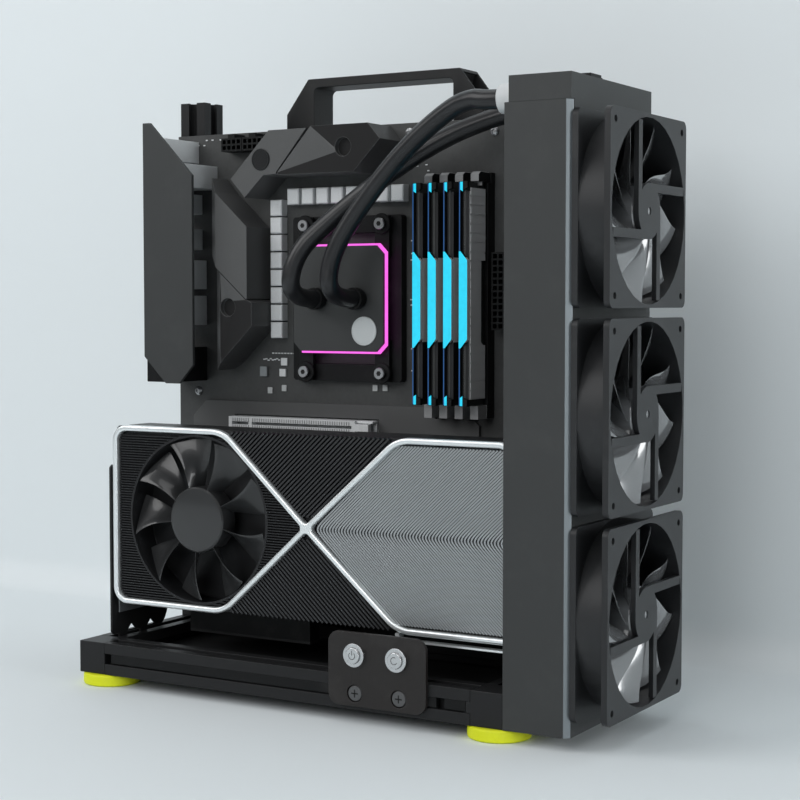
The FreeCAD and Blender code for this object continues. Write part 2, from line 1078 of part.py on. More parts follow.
def frame_box(width, height, y0, y1, corner):
    """A plate with cut corners centred on the processor."""
    return prism(
        rectangle(
            block_centre_x - width / 2,
            block_centre_x + width / 2,
            block_centre_z - height / 2,
            block_centre_z + height / 2,
            corner,
        ),
        "Y",
        y0,
        y1,
    )


def make_processor_block():
    frame_front = board_front - socket_bar_height
    frame = frame_box(socket_width, socket_height, frame_front, board_front, 1.5)
    room = frame_box(
        socket_width - 2 * socket_bar,
        socket_height - 2 * socket_bar,
        frame_front,
        board_front,
        1.5,
    )
    add("socket_frame", frame.cut(room))
    add("processor", frame_box(processor_width, processor_width, block_back, board_front, 1.0))
    y = block_back
    add("cold_plate", frame_box(cold_plate_width, cold_plate_width, y - cold_plate_thickness, y, 3.0))
    y -= cold_plate_thickness
    bracket_back = y
    y -= pump_body_thickness
    body = frame_box(block_width - 4.0, block_height - 4.0, y, bracket_back - bracket_thickness, block_corner)
    add("pump_housing", body)
    ring = frame_box(
        block_width + 2 * ring_overhang,
        block_height + 2 * ring_overhang,
        y - ring_thickness,
        y,
        block_corner,
    )
    room = frame_box(block_width - 8.0, block_height - 8.0, y - ring_thickness, y, block_corner)
    add("light_ring", ring.cut(room))
    y -= ring_thickness
    cover = frame_box(block_width, block_height, y - cover_plate_thickness, y, block_corner)
    add("block_cover", cover)
    y -= cover_plate_thickness
    add(
        "badges",
        rod(
            block_centre_x + block_badge_right,
            y - block_badge_thickness,
            block_centre_z - block_badge_low,
            "Y",
            block_badge_radius,
            block_badge_thickness,
        ),
    )
    make_bracket(bracket_back)


def make_bracket(back):
    """The plate behind the pump with four legs for its screws."""
    front = back - bracket_thickness
    shape = frame_box(block_width - 4.0, block_height - 4.0, front, back, block_corner)
    for side_x in (-1, 1):
        for side_z in (-1, 1):
            x = block_centre_x + side_x * bracket_hole_x / 2
            z = block_centre_z + side_z * bracket_hole_z / 2
            far = z + side_z * bracket_leg / 2
            near = block_centre_z + side_z * (block_height / 2 - bracket_leg_lap)
            leg = block(
                x - bracket_leg / 2,
                x + bracket_leg / 2,
                front,
                back,
                min(near, far),
                max(near, far),
            )
            shape = shape.fuse(leg)
    add("mounting_bracket", shape.removeSplitter())


def make_fittings():
    """The fittings on the pump block, the collars on the radiator and its fill cap."""
    for x in (front_fitting_x, rear_fitting_x):
        neck = rod(
            x,
            block_front - fitting_neck_length,
            fitting_z,
            "Y",
            fitting_neck_radius,
            fitting_neck_length,
        )
        sleeve = rod(
            x,
            fitting_front,
            fitting_z,
            "Y",
            fitting_radius,
            fitting_length,
        )
        add("hose_fittings", neck.fuse(sleeve).removeSplitter())
    for side in (-1, 1):
        y = shroud_middle + side * port_spread
        add("hose_fittings", rod(port_x, y, port_height, "X", port_collar_radius, port_collar_length))
    cap_right = shroud_right - shroud_wall
    add(
        "hose_fittings",
        block(
            cap_right - fill_cap_width,
            cap_right,
            fill_cap_y,
            fill_cap_y + fill_cap_length,
            shroud_height,
            shroud_height + fill_cap_height,
        ),
    )


def tube(route, radius):
    """A round tube along straight runs joined by tangent arcs."""
    points = [vector(*point) for point in route]
    edges = []
    start = points[0]
    for before, corner, after in zip(points, points[1:], points[2:]):
        into = corner - before
        out = after - corner
        turn = into.getAngle(out)
        reach = 0.45 * min(into.Length, out.Length)
        into.normalize()
        out.normalize()
        bend = reach / math.tan(turn / 2)
        first = corner - into * reach
        last = corner + out * reach
        middle_way = into * -1 + out
        middle_way.normalize()
        middle = corner + middle_way * (math.hypot(bend, reach) - bend)
        edges.append(Part.LineSegment(start, first).toShape())
        edges.append(Part.Arc(first, middle, last).toShape())
        start = last
    edges.append(Part.LineSegment(start, points[-1]).toShape())
    path = Part.Wire(edges)
    heading = points[1] - points[0]
    ring = Part.Wire([Part.Circle(points[0], heading, radius).toShape()])
    return path.makePipeShell([ring], True, True)


def hose_route(fitting_x, rise, port_y, entry):
    """The points of a hose, from its fitting on the block to its collar on the radiator."""
    start = (fitting_x, fitting_front, fitting_z)
    end = (port_x, port_y, port_height)
    route = [[a + b for a, b in zip(start, step)] for step in rise]
    route += [[a + b for a, b in zip(end, step)] for step in entry]
    return route


def make_hoses():
    front_y = shroud_middle - port_spread
    rear_y = shroud_middle + port_spread
    front = hose_route(front_fitting_x, front_hose_rise, front_y, front_hose_entry)
    rear = hose_route(rear_fitting_x, rear_hose_rise, rear_y, rear_hose_entry)
    add("front_hose", tube(front, hose_radius))
    add("rear_hose", tube(rear, hose_radius))


# Radiator and its fans


def fan_low(index):
    return fan_bottom + index * fan_pitch


def make_radiator():
    left = radiator_left + shroud_left
    right = shroud_right
    shell = block(left, right, 0, shroud_depth, 0, shroud_height)
    panel_room = block(left - 1, right + 1, -1, panel_thickness, -1, panel_height)
    shell = shell.cut(panel_room)
    inside = block(
        left,
        right - shroud_wall,
        panel_thickness + shroud_wall,
        shroud_depth - shroud_wall,
        shroud_wall,
        shroud_height - shroud_wall,
    )
    shell = shell.cut(inside)
    for index in range(fan_count):
        low = fan_low(index) + (fan_size - window_size) / 2
        y0 = shroud_middle - window_size / 2
        window = prism(
            rectangle(y0, y0 + window_size, low, low + window_size, window_chamfer),
            "X",
            right - shroud_wall,
            right,
        )
        shell = shell.cut(window)
    add("radiator_shroud", shell)
    panel = block(radiator_left, right, 0, panel_thickness, 0, panel_height)
    bevel = [
        (right - panel_chamfer, -1),
        (right + 1, -1),
        (right + 1, panel_chamfer),
        (right, panel_chamfer),
        (right - panel_chamfer, 0),
    ]
    add("front_panel", panel.cut(prism(bevel, "Z", -1, panel_height + 1)))
    make_core(right - shroud_wall - core_thickness, right - shroud_wall)


def make_core(x0, x1):
    """The finned core between its two end tanks."""
    y0 = panel_thickness + shroud_wall
    y1 = shroud_depth - shroud_wall
    core = block(x0, x1, y0, y1, core_bottom, core_top)
    pitch = (y1 - y0) / core_tubes
    for index in range(core_tubes):
        low = y0 + index * pitch + core_tube_width
        high = y0 + (index + 1) * pitch
        core = core.cut(block(x0, x0 + core_tube_relief, low, high, core_bottom, core_top))
    add("radiator_core", core)
    add("radiator_core", block(x0, x1, y0, y1, shroud_wall, core_bottom))
    add(
        "radiator_core",
        block(
            radiator_left + shroud_left,
            x1,
            y0,
            y1,
            core_top,
            shroud_height - shroud_wall,
        ),
    )


def fan_frame(index):
    """One square fan frame: two flanges, a round barrel, four offset struts and the motor seat."""
    z0 = fan_low(index)
    y0 = shroud_middle - fan_size / 2
    middle_z = z0 + fan_size / 2
    square = block(fan_back, fan_front, y0, y0 + fan_size, z0, z0 + fan_size)
    square = rounded(square, "X", fan_corner)
    belt = block(
        fan_back + fan_flange,
        fan_front - fan_flange,
        y0 - 1,
        y0 + fan_size + 1,
        z0 - 1,
        z0 + fan_size + 1,
    )
    barrel = many_sided(fan_barrel_radius, fan_side_count, fan_back, fan_front)
    bore = many_sided(fan_bore_radius, fan_side_count, fan_back, fan_front)
    for ring in (barrel, bore):
        ring.translate(vector(0, shroud_middle, middle_z))
    frame = square.cut(belt.cut(barrel)).cut(bore)
    half = fan_hole_pitch / 2
    for side_y in (-1, 1):
        for side_z in (-1, 1):
            hole = rod(
                fan_front - fan_flange,
                shroud_middle + side_y * half,
                middle_z + side_z * half,
                "X",
                fan_hole_radius,
                fan_flange,
            )
            frame = frame.cut(hole)
    seat_x = fan_front - stator_thickness
    seat = rod(seat_x, shroud_middle, middle_z, "X", stator_radius, stator_thickness)
    reach = fan_bore_radius + 0.4
    near = strut_width - stator_radius
    for quarter in range(4):
        long = math.sqrt(reach**2 - stator_radius**2)
        strut = block(seat_x, fan_front, -stator_radius, near, 0, long)
        strut.rotate(vector(0, 0, 0), vector(1, 0, 0), 90 * quarter)
        strut.translate(vector(0, shroud_middle, middle_z))
        seat = seat.fuse(strut)
    frame = frame.fuse(seat)
    frame = frame.cut(rod(seat_x, shroud_middle, middle_z, "X", stator_hole_radius, stator_thickness))
    return frame.removeSplitter()


def blade_point(radius, share, length, form, side):
    """A point of a blade at a radius, from its inlet edge at share 0 to its outlet edge at 1."""
    hub, tip, root_span, tip_span, root_lead, hand = form
    rise = (radius - hub) / (tip - hub)
    outlet = root_lead * (1 - rise) ** lead_curve
    span = root_span + (tip_span - root_span) * rise
    angle = math.radians(hand * (outlet - span * (1 - share)))
    angle += side * blade_thickness / 2 / radius
    x = length * (share + blade_belly * math.sin(math.pi * share))
    return vector(x, radius * math.cos(angle), radius * math.sin(angle))


def blade(form, length):
    """One blade about the X axis, as a twisted sheet between its root and its tip."""
    hub, tip = form[0], form[1]
    radii = [hub + (tip - hub) * step / blade_bands for step in range(blade_bands + 1)]
    shares = [step / blade_strips for step in range(blade_strips + 1)]
    upper = [[blade_point(r, share, length, form, 1) for share in shares] for r in radii]
    lower = [[blade_point(r, share, length, form, -1) for share in shares] for r in radii]
    faces = []

    def quad(a, b, c, d):
        faces.append(Part.Face(Part.makePolygon([a, b, c, a])))
        faces.append(Part.Face(Part.makePolygon([a, c, d, a])))

    for sheet in (upper, lower):
        for low, high in zip(sheet, sheet[1:]):
            for step in range(blade_strips):
                quad(low[step], low[step + 1], high[step + 1], high[step])
    for band in (0, blade_bands):
        for step in range(blade_strips):
            quad(upper[band][step], upper[band][step + 1], lower[band][step + 1], lower[band][step])
    for step in (0, blade_strips):
        for band in range(blade_bands):
            quad(upper[band][step], upper[band + 1][step], lower[band + 1][step], lower[band][step])
    solid = Part.Solid(Part.Shell(faces))
    if solid.Volume < 0:
        solid.reverse()
    return solid


def rotor(hub_radius, tip_radius, length, phase, spans, hand):
    """A many sided hub that starts on the origin and runs along X, with its blades."""
    shape = many_sided(hub_radius - hub_side_drop, hub_side_count, 0, length, phase)
    form = (hub_radius - blade_root_depth, tip_radius, *spans, hand)
    for index in range(blade_count):
        vane = blade(form, length * blade_share)
        vane.translate(vector(length * (1 - blade_share) / 2, 0, 0))
        vane.rotate(vector(0, 0, 0), vector(1, 0, 0), phase + index * 360 / blade_count)
        shape = shape.fuse(vane)
    return shape


def make_fans():
    for index, name in enumerate(fan_names[:fan_count]):
        add("fan_frames", fan_frame(index))
        middle_z = fan_low(index) + fan_size / 2
        shape = rotor(rotor_hub_radius, rotor_radius, rotor_length, rotor_phase, rotor_spans, 1)
        shaft = rod(rotor_length, 0, 0, "X", shaft_radius, rotor_gap + shaft_length)
        shape = shape.fuse(shaft)
        seat_x = fan_front - stator_thickness
        shape.translate(vector(seat_x - rotor_gap - rotor_length, shroud_middle, middle_z))
        add("fan_rotor_" + name, shape)


# Graphics card


def inset_outline(points, amount):
    """A convex outline, listed anticlockwise, with each side moved inwards."""
    lines = []
    for (x0, z0), (x1, z1) in zip(points, points[1:] + points[:1]):
        run = math.hypot(x1 - x0, z1 - z0)
        nx = -(z1 - z0) / run
        nz = (x1 - x0) / run
        lines.append((x0 + nx * amount, z0 + nz * amount, x1 - x0, z1 - z0))
    inner = []
    for (ax, az, adx, adz), (bx, bz, bdx, bdz) in zip([lines[-1]] + lines[:-1], lines):
        cross = adx * bdz - adz * bdx
        share = ((bx - ax) * bdz - (bz - az) * bdx) / cross
        inner.append((ax + adx * share, az + adz * share))
    return inner


def card_lobes():
    """The outer outlines of the two windows of the card's frame."""
    tip = frame_tip_overlap / 2
    left = [
        (card_left, card_bottom),
        (frame_shoulder_left, card_bottom),
        (frame_cross_x + tip, card_middle),
        (frame_shoulder_left, card_top),
        (card_left, card_top),
    ]
    right = [
        (frame_cross_x - tip, card_middle),
        (frame_shoulder_right, card_bottom),
        (card_right, card_bottom),
        (card_right, card_top),
        (frame_shoulder_right, card_top),
    ]
    return left, right


def make_card_frame():
    back = card_front + frame_depth
    shape = None
    rooms = []
    for outline in card_lobes():
        lobe = rounded(prism(outline, "Y", card_front, back), "Y", frame_corner, off_cross)
        shape = lobe if shape is None else shape.fuse(lobe)
        rooms.append(card_window(outline, 0))
    for room in rooms:
        shape = shape.cut(room)
    low = card_bottom - frame_lip_drop
    lip = block(frame_shoulder_right, card_right, card_front, back, low, low + frame_lip_bar)
    end = block(card_right - frame_lip_end, card_right, card_front, back, low, card_middle)
    end = end.cut(block(0, card_right, card_front, back, card_bottom + 1.0, card_middle))
    start = block(
        frame_shoulder_right,
        frame_shoulder_right + frame_lip_end,
        card_front,
        back,
        low,
        card_bottom + 0.5,
    )
    add("card_frame", shape.fuse(lip).fuse(end).fuse(start).removeSplitter())


def off_cross(point):
    """True away from the crossing and from the frame's lower right corner, which has a lip."""
    near_cross = abs(point.x - frame_cross_x) < frame_tip_overlap
    lip_corner = point.x > card_right - 1 and point.z < card_middle
    return not near_cross and not lip_corner


def card_window(outline, gap):
    """The room inside one window of the frame, kept a gap clear of its bars."""
    back = card_front + frame_depth
    room = prism(inset_outline(outline, frame_bar + gap), "Y", card_front, back)
    return rounded(room, "Y", frame_corner - frame_bar - gap)


def side_fins():
    """Level slats beside the front fan, each cut short at the fan's bay."""
    room = card_window(card_lobes()[0], fin_gap)
    low = card_bottom + frame_bar + side_fin_gap
    high = card_top - frame_bar - side_fin_gap
    y0 = card_front + frame_depth - side_fin_depth
    y1 = card_front + frame_depth
    count = int((high - low - side_fin_thickness) / side_fin_pitch) + 1
    fins = []
    for index in range(count):
        z = low + index * side_fin_pitch
        near = abs(z + side_fin_thickness / 2 - card_middle)
        spans = ((card_left, card_right),)
        if near < card_bay_radius:
            chord = math.sqrt((card_bay_radius + fin_gap) ** 2 - near**2)
            spans = ((card_left, card_fan_x - chord), (card_fan_x + chord, card_right))
        for x0, x1 in spans:
            slat = block(x0, x1, y0, y1, z, z + side_fin_thickness)
            fins += slat.common(room).Solids
    return fins


def middle_fins():
    """Slanted slats in the two triangles between the windows, along the right window's edges."""
    run = (frame_shoulder_right - frame_cross_x) / (card_height / 2)
    y0 = card_front + frame_depth - side_fin_depth
    y1 = card_front + frame_depth
    reach = card_height / 2 - 2.0
    half = middle_fin_thickness / 2
    fins = []
    for side in (-1, 1):
        corners = [
            (frame_cross_x, card_middle + side * middle_fin_tip),
            (frame_shoulder_left + middle_fin_inset, card_middle + side * reach),
            (frame_shoulder_right - middle_fin_inset, card_middle + side * reach),
        ]
        room = prism(corners, "Y", y0, y1)
        count = int((frame_shoulder_right - frame_shoulder_left) / middle_fin_pitch)
        for index in range(1, count):
            x = frame_shoulder_right - index * middle_fin_pitch
            slat = [
                (x - half, card_middle + side * reach),
                (x - half - run * reach, card_middle),
                (x + half - run * reach, card_middle),
                (x + half, card_middle + side * reach),
            ]
            fins += prism(slat, "Y", y0, y1).common(room).Solids
    return fins


def grille_fins():
    """Arrow shaped slats that fill the right window."""
    room = card_window(card_lobes()[1], fin_gap)
    fins = []
    run = (frame_shoulder_right - frame_cross_x) / (card_height / 2)
    reach = card_height / 2 - frame_bar - 1.2
    first = frame_cross_x + frame_bar * 2.0
    last = card_right - frame_bar - 0.6
    y0 = card_front + grille_set_back
    y1 = card_front + frame_depth
    count = int((last - first) / grille_pitch)
    for index in range(count):
        x = first + index * grille_pitch
        arms = []
        for start in (x, x + grille_thickness):
            limit = min(reach, (last - start) / run)
            arms.append((start + run * limit, limit, start))
        (x0, z0, tip0), (x1, z1, tip1) = arms
        points = [(x0, card_middle - z0), (tip0, card_middle), (x0, card_middle + z0)]
        if z1 < z0:
            points.append((x1, card_middle + z0))
        points += [(x1, card_middle + z1), (tip1, card_middle), (x1, card_middle - z1)]
        if z1 < z0:
            points.append((x1, card_middle - z0))
        fins += prism(points, "Y", y0, y1).common(room).Solids
    return fins


def make_card_body():
    y0 = card_front + frame_depth
    y1 = card_back
    left = card_left + bracket_plate_thickness
    body = block(left, card_right - 1.0, y0, y1, card_bottom + 1.0, card_top - 1.0)
    front_bay = rod(card_fan_x, y0, card_middle, "Y", card_bay_radius, card_bay_depth)
    rear_x = card_right - card_fan_inset
    rear_bay = rod(rear_x, y1 - card_bay_depth, card_middle, "Y", card_bay_radius, card_bay_depth)
    floor = y0 + card_bay_depth
    front_face = card_front + card_rotor_inset + card_rotor_length + rotor_gap
    front_post = rod(card_fan_x, front_face, card_middle, "Y", card_post_radius, floor - front_face)
    rear_floor = y1 - card_bay_depth
    rear_face = card_back - card_rotor_inset - card_rotor_length - rotor_gap
    rear_post = rod(rear_x, rear_floor, card_middle, "Y", card_post_radius, rear_face - rear_floor)
    bore = card_pin_radius + card_pin_clearance
    depth = card_pin_length + rotor_gap
    front_bore = rod(card_fan_x, front_face, card_middle, "Y", bore, depth)
    rear_bore = rod(rear_x, rear_face - depth, card_middle, "Y", bore, depth)
    board_room = block(
        left,
        left + card_board_length + 2.0,
        y1 - back_plate_thickness - card_board_gap - card_board_thickness,
        y1,
        card_bottom,
        card_top,
    )
    body = body.cut(front_bay).cut(rear_bay).cut(board_room)
    body = body.fuse(front_post).fuse(rear_post).cut(front_bore).cut(rear_bore)
    add("card_heatsink", body.removeSplitter())


def make_card_board():
    """The card's own circuit board with its contact edge, the plate behind it and the end bracket."""
    left = card_left + bracket_plate_thickness
    right = left + card_board_length
    back = card_back - back_plate_thickness - card_board_gap
    front = back - card_board_thickness
    low = card_bottom + 3.0
    board = block(left, right, front, back, low, card_top - 3.0)
    edge = block(edge_left, edge_left + edge_length, front, back, card_bottom - edge_drop, low)
    add("card_board", board.fuse(edge).removeSplitter())
    plate = block(left, right + 2.0, card_back - back_plate_thickness, card_back, low, card_top - 3.0)
    rib = block(left, right + 2.0, back, card_back - back_plate_thickness, low, low + 4.0)
    top_rib = block(left, right + 2.0, back, card_back - back_plate_thickness, card_top - 7.0, card_top - 3.0)
    add("card_back_plate", plate.fuse(rib).fuse(top_rib).removeSplitter())
    bracket = block(
        card_left,
        left,
        card_front + frame_depth,
        card_back,
        card_bottom - 8.0,
        card_top - 2.0,
    )
    for step in range(3):
        z = card_bottom + 20.0 + step * 34.0
        port = block(card_left, left, card_back - 14.0, card_back - 7.0, z, z + 22.0)
        bracket = bracket.cut(port)
    add("card_bracket", bracket)


def card_rotor():
    """A card fan's rotor that faces -X, with the pin that it turns on."""
    shape = rotor(
        card_hub_radius, card_blade_radius, card_rotor_length, card_rotor_phase, card_spans, 1
    )
    pin = rod(card_rotor_length, 0, 0, "X", card_pin_radius, rotor_gap + card_pin_length)
    return shape.fuse(pin)


def make_card_fans():
    front = card_rotor()
    front.rotate(vector(0, 0, 0), vector(0, 0, 1), 90)
    front.translate(vector(card_fan_x, card_front + card_rotor_inset, card_middle))
    add("card_front_rotor", front)
    rear = card_rotor()
    rear.rotate(vector(0, 0, 0), vector(0, 0, 1), -90)
    rear.translate(vector(card_right - card_fan_inset, card_back - card_rotor_inset, card_middle))
    add("card_rear_rotor", rear)


def make_card_supports():
    """The riser socket on its shelf, and the upright plate at the card's left end."""
    board_back_face = card_back - back_plate_thickness - card_board_gap
    board_face = board_back_face - card_board_thickness
    middle = (board_back_face + board_face) / 2
    foot = bar + shelf_rise
    top = card_bottom - edge_drop + riser_height - 3.0
    x0 = edge_left - riser_end
    x1 = edge_left + edge_length + riser_end
    socket = block(x0, x1, middle - riser_width / 2, middle + riser_width / 2, foot, top)
    groove = block(
        edge_left,
        edge_left + edge_length,
        board_face,
        board_back_face,
        card_bottom - edge_drop,
        top,
    )
    add("expansion_slots", socket.cut(groove))
    shelf = block(x0, x1, middle - riser_width / 2, tray_front, foot - shelf_thickness, foot)
    flange = block(
        x0,
        x1,
        tray_front - shelf_thickness,
        tray_front,
        foot - shelf_thickness,
        board_bottom - 4.0,
    )
    add("card_supports", shelf.fuse(flange).removeSplitter())
    add("card_supports", holder_plate())


def holder_plate():
    """The upright sheet that the card's end bracket bears on, seated in the left rail's slot."""
    front = holder_front
    back = front + holder_depth
    low = holder_bottom
    points = [
        (front + 2.2, low),
        (back - 6.0, low),
        (back - 2.6, low + 3.6),
        (back, low + holder_notch),
        (back, holder_top),
        (front + 2.0, holder_top),
        (front, holder_top - 2.0),
        (front, low + 2.2),
    ]
    plate = prism(points, "X", holder_x, holder_x + holder_thickness)
    for start in (front + 17.8, front + 40.0):
        hole = [
            (start, low + 1.2),
            (start + holder_hole_base, low + 1.2),
            (start + holder_hole_base / 2, low + 1.2 + holder_hole_height),
        ]
        plate = plate.cut(prism(hole, "X", holder_x, holder_x + holder_thickness))
    for y in (bar + 6.0, bar + 30.0):
        tab = block(holder_x, holder_x + holder_thickness, y, y + 8.0, bar - holder_tab, low)
        plate = plate.fuse(tab)
    return plate.removeSplitter()


# Switch plate


def make_switches():
    middle = (plate_left + plate_right) / 2
    plate = block(plate_left, plate_right, -plate_thickness, 0, plate_low, plate_high)
    plate = rounded(plate, "Y", plate_corner)
    for side, name in ((-1, "power_button"), (1, "reset_button")):
        x = middle + side * button_spacing / 2
        hole_radius = switch_body_radius + button_clearance
        plate = plate.cut(rod(x, -plate_thickness, button_height, "Y", hole_radius, plate_thickness))
        bezel = rod(x, -plate_thickness - bezel_height, button_height, "Y", bezel_radius, bezel_height)
        body = rod(x, -plate_thickness, button_height, "Y", switch_body_radius, switch_body_length)
        well = rod(
            x,
            -plate_thickness - bezel_height,
            button_height,
            "Y",
            button_radius + button_clearance,
            bezel_height + button_travel + 0.8,
        )
        add("switch_bodies", bezel.fuse(body).cut(well).removeSplitter())
        cap_front = -plate_thickness - bezel_height - button_stand
        cap_back = -plate_thickness
        add(name, rod(x, cap_front, button_height, "Y", button_radius, cap_back - cap_front))
    slot_height = bar / 2
    for side in (-1, 1):
        x = middle + side * plate_screw_spacing / 2
        recess = rod(x, -plate_thickness, slot_height, "Y", screw_recess_radius, screw_recess_depth)
        plate = plate.cut(recess)
    add("switch_plate", plate)


def main():
    make_base()
    make_floor()
    make_slot_covers()
    make_tray()
    make_handle()
    make_board()
    make_ports()
    make_heatsinks()
    make_chokes()
    make_plugs()
    make_memory()
    make_pcie()
    make_processor_block()
    make_fittings()
    make_hoses()
    make_radiator()
    make_fans()
    make_card_frame()
    make_card_body()
    make_card_board()
    make_card_fans()
    add("card_dark_fins", *side_fins())
    add("card_dark_fins", *middle_fins())
    add("card_light_fins", *grille_fins())
    make_card_supports()
    make_switches()
    os.makedirs("parts", exist_ok=True)
    for name, shapes in sorted(nodes.items()):
        shape = shapes[0] if len(shapes) == 1 else Part.makeCompound(shapes)
        shape.translate(origin * -1)
        shape.exportStep("parts/" + name + ".step")
        print(name, len(shape.Solids), "valid" if shape.isValid() else "NOT VALID")


main()
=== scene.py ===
import json
import math
import random

import bmesh
import bpy
from mathutils import Euler, Matrix, Vector

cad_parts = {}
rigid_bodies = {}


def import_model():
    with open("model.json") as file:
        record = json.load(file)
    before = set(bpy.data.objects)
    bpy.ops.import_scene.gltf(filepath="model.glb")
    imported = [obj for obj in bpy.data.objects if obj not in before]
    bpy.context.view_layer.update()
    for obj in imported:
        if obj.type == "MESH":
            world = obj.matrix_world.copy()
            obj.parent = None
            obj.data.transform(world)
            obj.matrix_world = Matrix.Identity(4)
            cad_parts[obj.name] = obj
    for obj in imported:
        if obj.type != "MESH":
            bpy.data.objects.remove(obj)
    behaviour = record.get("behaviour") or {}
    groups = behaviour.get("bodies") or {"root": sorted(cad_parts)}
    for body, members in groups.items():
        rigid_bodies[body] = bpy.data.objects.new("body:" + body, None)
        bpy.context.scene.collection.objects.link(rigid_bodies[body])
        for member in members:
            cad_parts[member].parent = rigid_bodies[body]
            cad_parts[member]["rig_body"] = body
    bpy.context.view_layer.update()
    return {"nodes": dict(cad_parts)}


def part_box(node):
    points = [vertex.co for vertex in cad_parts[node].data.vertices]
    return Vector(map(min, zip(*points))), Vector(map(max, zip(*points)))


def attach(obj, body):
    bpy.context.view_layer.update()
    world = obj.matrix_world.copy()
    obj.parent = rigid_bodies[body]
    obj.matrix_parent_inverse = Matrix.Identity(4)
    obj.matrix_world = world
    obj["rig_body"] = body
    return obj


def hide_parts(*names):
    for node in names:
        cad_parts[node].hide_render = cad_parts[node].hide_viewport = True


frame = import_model()

# Places are written as millimetres from the front left lower corner of the base's rails:
# X to the right, Y to the back and Z up.
CORNER = Vector(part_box("corner_blocks")[0])
MM = 0.001
BENCH = "bench"


def at(x, y, z):
    """A place in bench millimetres as a place in the frame."""
    return CORNER + Vector((x, y, z)) * MM


def corners(node):
    """A node's lowest and highest corner in bench millimetres."""
    return [[(v[i] - CORNER[i]) / MM for i in range(3)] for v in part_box(node)]


# Camera: its place in bench millimetres, its turn and tilt in degrees, and its lens
CAMERA_PLACE = (835.53, -954.09, 264.85)
CAMERA_TURN = 30.7345
CAMERA_TILT = 3.169
CAMERA_LENS = 78.67

# Stage, in metres: the wall's distance behind the bench's middle, its foot's curve and its reach
WALL = 0.235
WALL_CURVE = 0.03
WALL_HEIGHT = 4.0
FLOOR_REACH = 4.0
FLOOR_HALF_WIDTH = 5.0

# Area lights: place, target, size, power and colour
LIGHTS = {
    "key_light": ((-1.7, -1.5, 1.6), (0.0, 0.0, 0.2), (1.8, 1.4), 26.0, (1.0, 1.0, 1.0)),
    "front_light": ((0.15, -2.5, 1.2), (0.0, 0.0, 0.2), (1.6, 1.2), 22.0, (1.0, 1.0, 1.0)),
    "side_light": ((2.28, -0.15, 0.5), (0.2, 0.0, 0.25), (1.3, 0.8), 25.0, (0.97, 0.99, 1.0)),
    "top_light": ((-0.2, -0.1, 2.0), (0.0, 0.0, 0.2), (1.6, 1.2), 10.0, (1.0, 1.0, 1.0)),
}

# Hoses, with the control points of their courses
HOSE_WIDTH = 12.8
FRONT_HOSE_ROUTE = (
    (179.7, 83.1, 268.0), (179.7, 51.5, 268.0), (181.3, 53.0, 298.0),
    (206.0, 53.0, 331.5), (243.0, 48.0, 367.0), (283.0, 40.0, 391.5),
    (303.0, 33.5, 395.2), (313.0, 30.3, 393.0), (325.0, 30.3, 393.0),
)
REAR_HOSE_ROUTE = (
    (146.5, 83.1, 268.0), (146.5, 51.5, 268.0), (152.5, 52.5, 299.5),
    (175.5, 62.0, 322.0), (215.0, 70.5, 352.0), (258.0, 78.0, 377.0),
    (296.0, 88.0, 390.5), (313.0, 92.3, 393.0), (325.0, 92.3, 393.0),
)

# Rotor blades: their number, thickness, share of the rotor's depth, bulge along it, and how
# fast the lead that their root has fades towards the tip
BLADES = 9
BLADE_THICKNESS = 1.4
BLADE_SHARE = 0.82
BLADE_BELLY = 0.12
LEAD_CURVE = 2.2

# Fans of the radiator. Spans are a blade's angles at its root and tip, and its root's lead
FAN_NAMES = ("bottom", "middle", "top")
FAN_HUB = 17.6
FAN_TIP = 56.3
FAN_DEPTH = 17.0
FAN_PHASE = 31.2
FAN_SPANS = (46.0, 26.0, 46.0)

# Graphics card
CARD_HEIGHT = 129.2
CARD_FRAME_BAR = 4.7
CARD_CROSS = 181.0
CARD_SHOULDER_LEFT = 112.6
CARD_SHOULDER_RIGHT = 252.0
CARD_TIP_OVERLAP = 3.0
CARD_CORNER = 7.0
CARD_FAN_X = 88.4
CARD_FAN_Z = 112.8
CARD_FAN_HOLE = 59.0
CARD_HUB = 23.3
CARD_TIP = 56.6
CARD_ROTOR_DEPTH = 15.0
CARD_PHASE = 14.0
CARD_SPANS = (12.0, 28.0, -9.0)
SIDE_FIN_PITCH = 1.84
MIDDLE_FIN_PITCH = 3.7
CARD_BEAD = 4.1
CARD_BEAD_ROUND = 1.5
CARD_DEPTH = 6.0
CARD_LIP_DROP = 4.6
CARD_LIP_SHEET = 1.2
SLAT_SET_BACK = 4.4
GRILLE_PITCH = 2.4
GRILLE_BEND = 2.6

# Memory modules
MODULE_COUNT = 4
MODULE_LEFT = 235.1
MODULE_PITCH = 12.0
MODULE_WIDTH = 6.4
WAIST_LOW = 238.6
WAIST_HIGH = 295.4
LAST_MODULE_FROM = 270.0

# The board's face, the heatsinks' two round recesses, and the upper slot's contacts
BOARD_FACE = 110.0
RECESSES = ((74.4, 261.8), (174.3, 373.9))
CONTACT_COUNT = 52
CONTACT_PITCH = 2.0

# Processor block: its bracket's middle and the reach of the bracket's legs from there
BLOCK_X = 162.4
BLOCK_Z = 268.0
BRACKET_REACH_X = 32.1
BRACKET_REACH_Z = 52.6
RING_LIT_FROM = 130.0

# Switch plate
PLATE_X = 252.05
PLATE_SCREW_REACH = 16.6
BUTTON_FACE = -7.2
BUTTON_Z = 36.9

# Radiator core's folded fins
CORE_FACE = 357.0
CORE_ROWS = 10
CORE_FOLDS = 90
CORE_FOLD_PITCH = 4.02

# Node trees that materials share


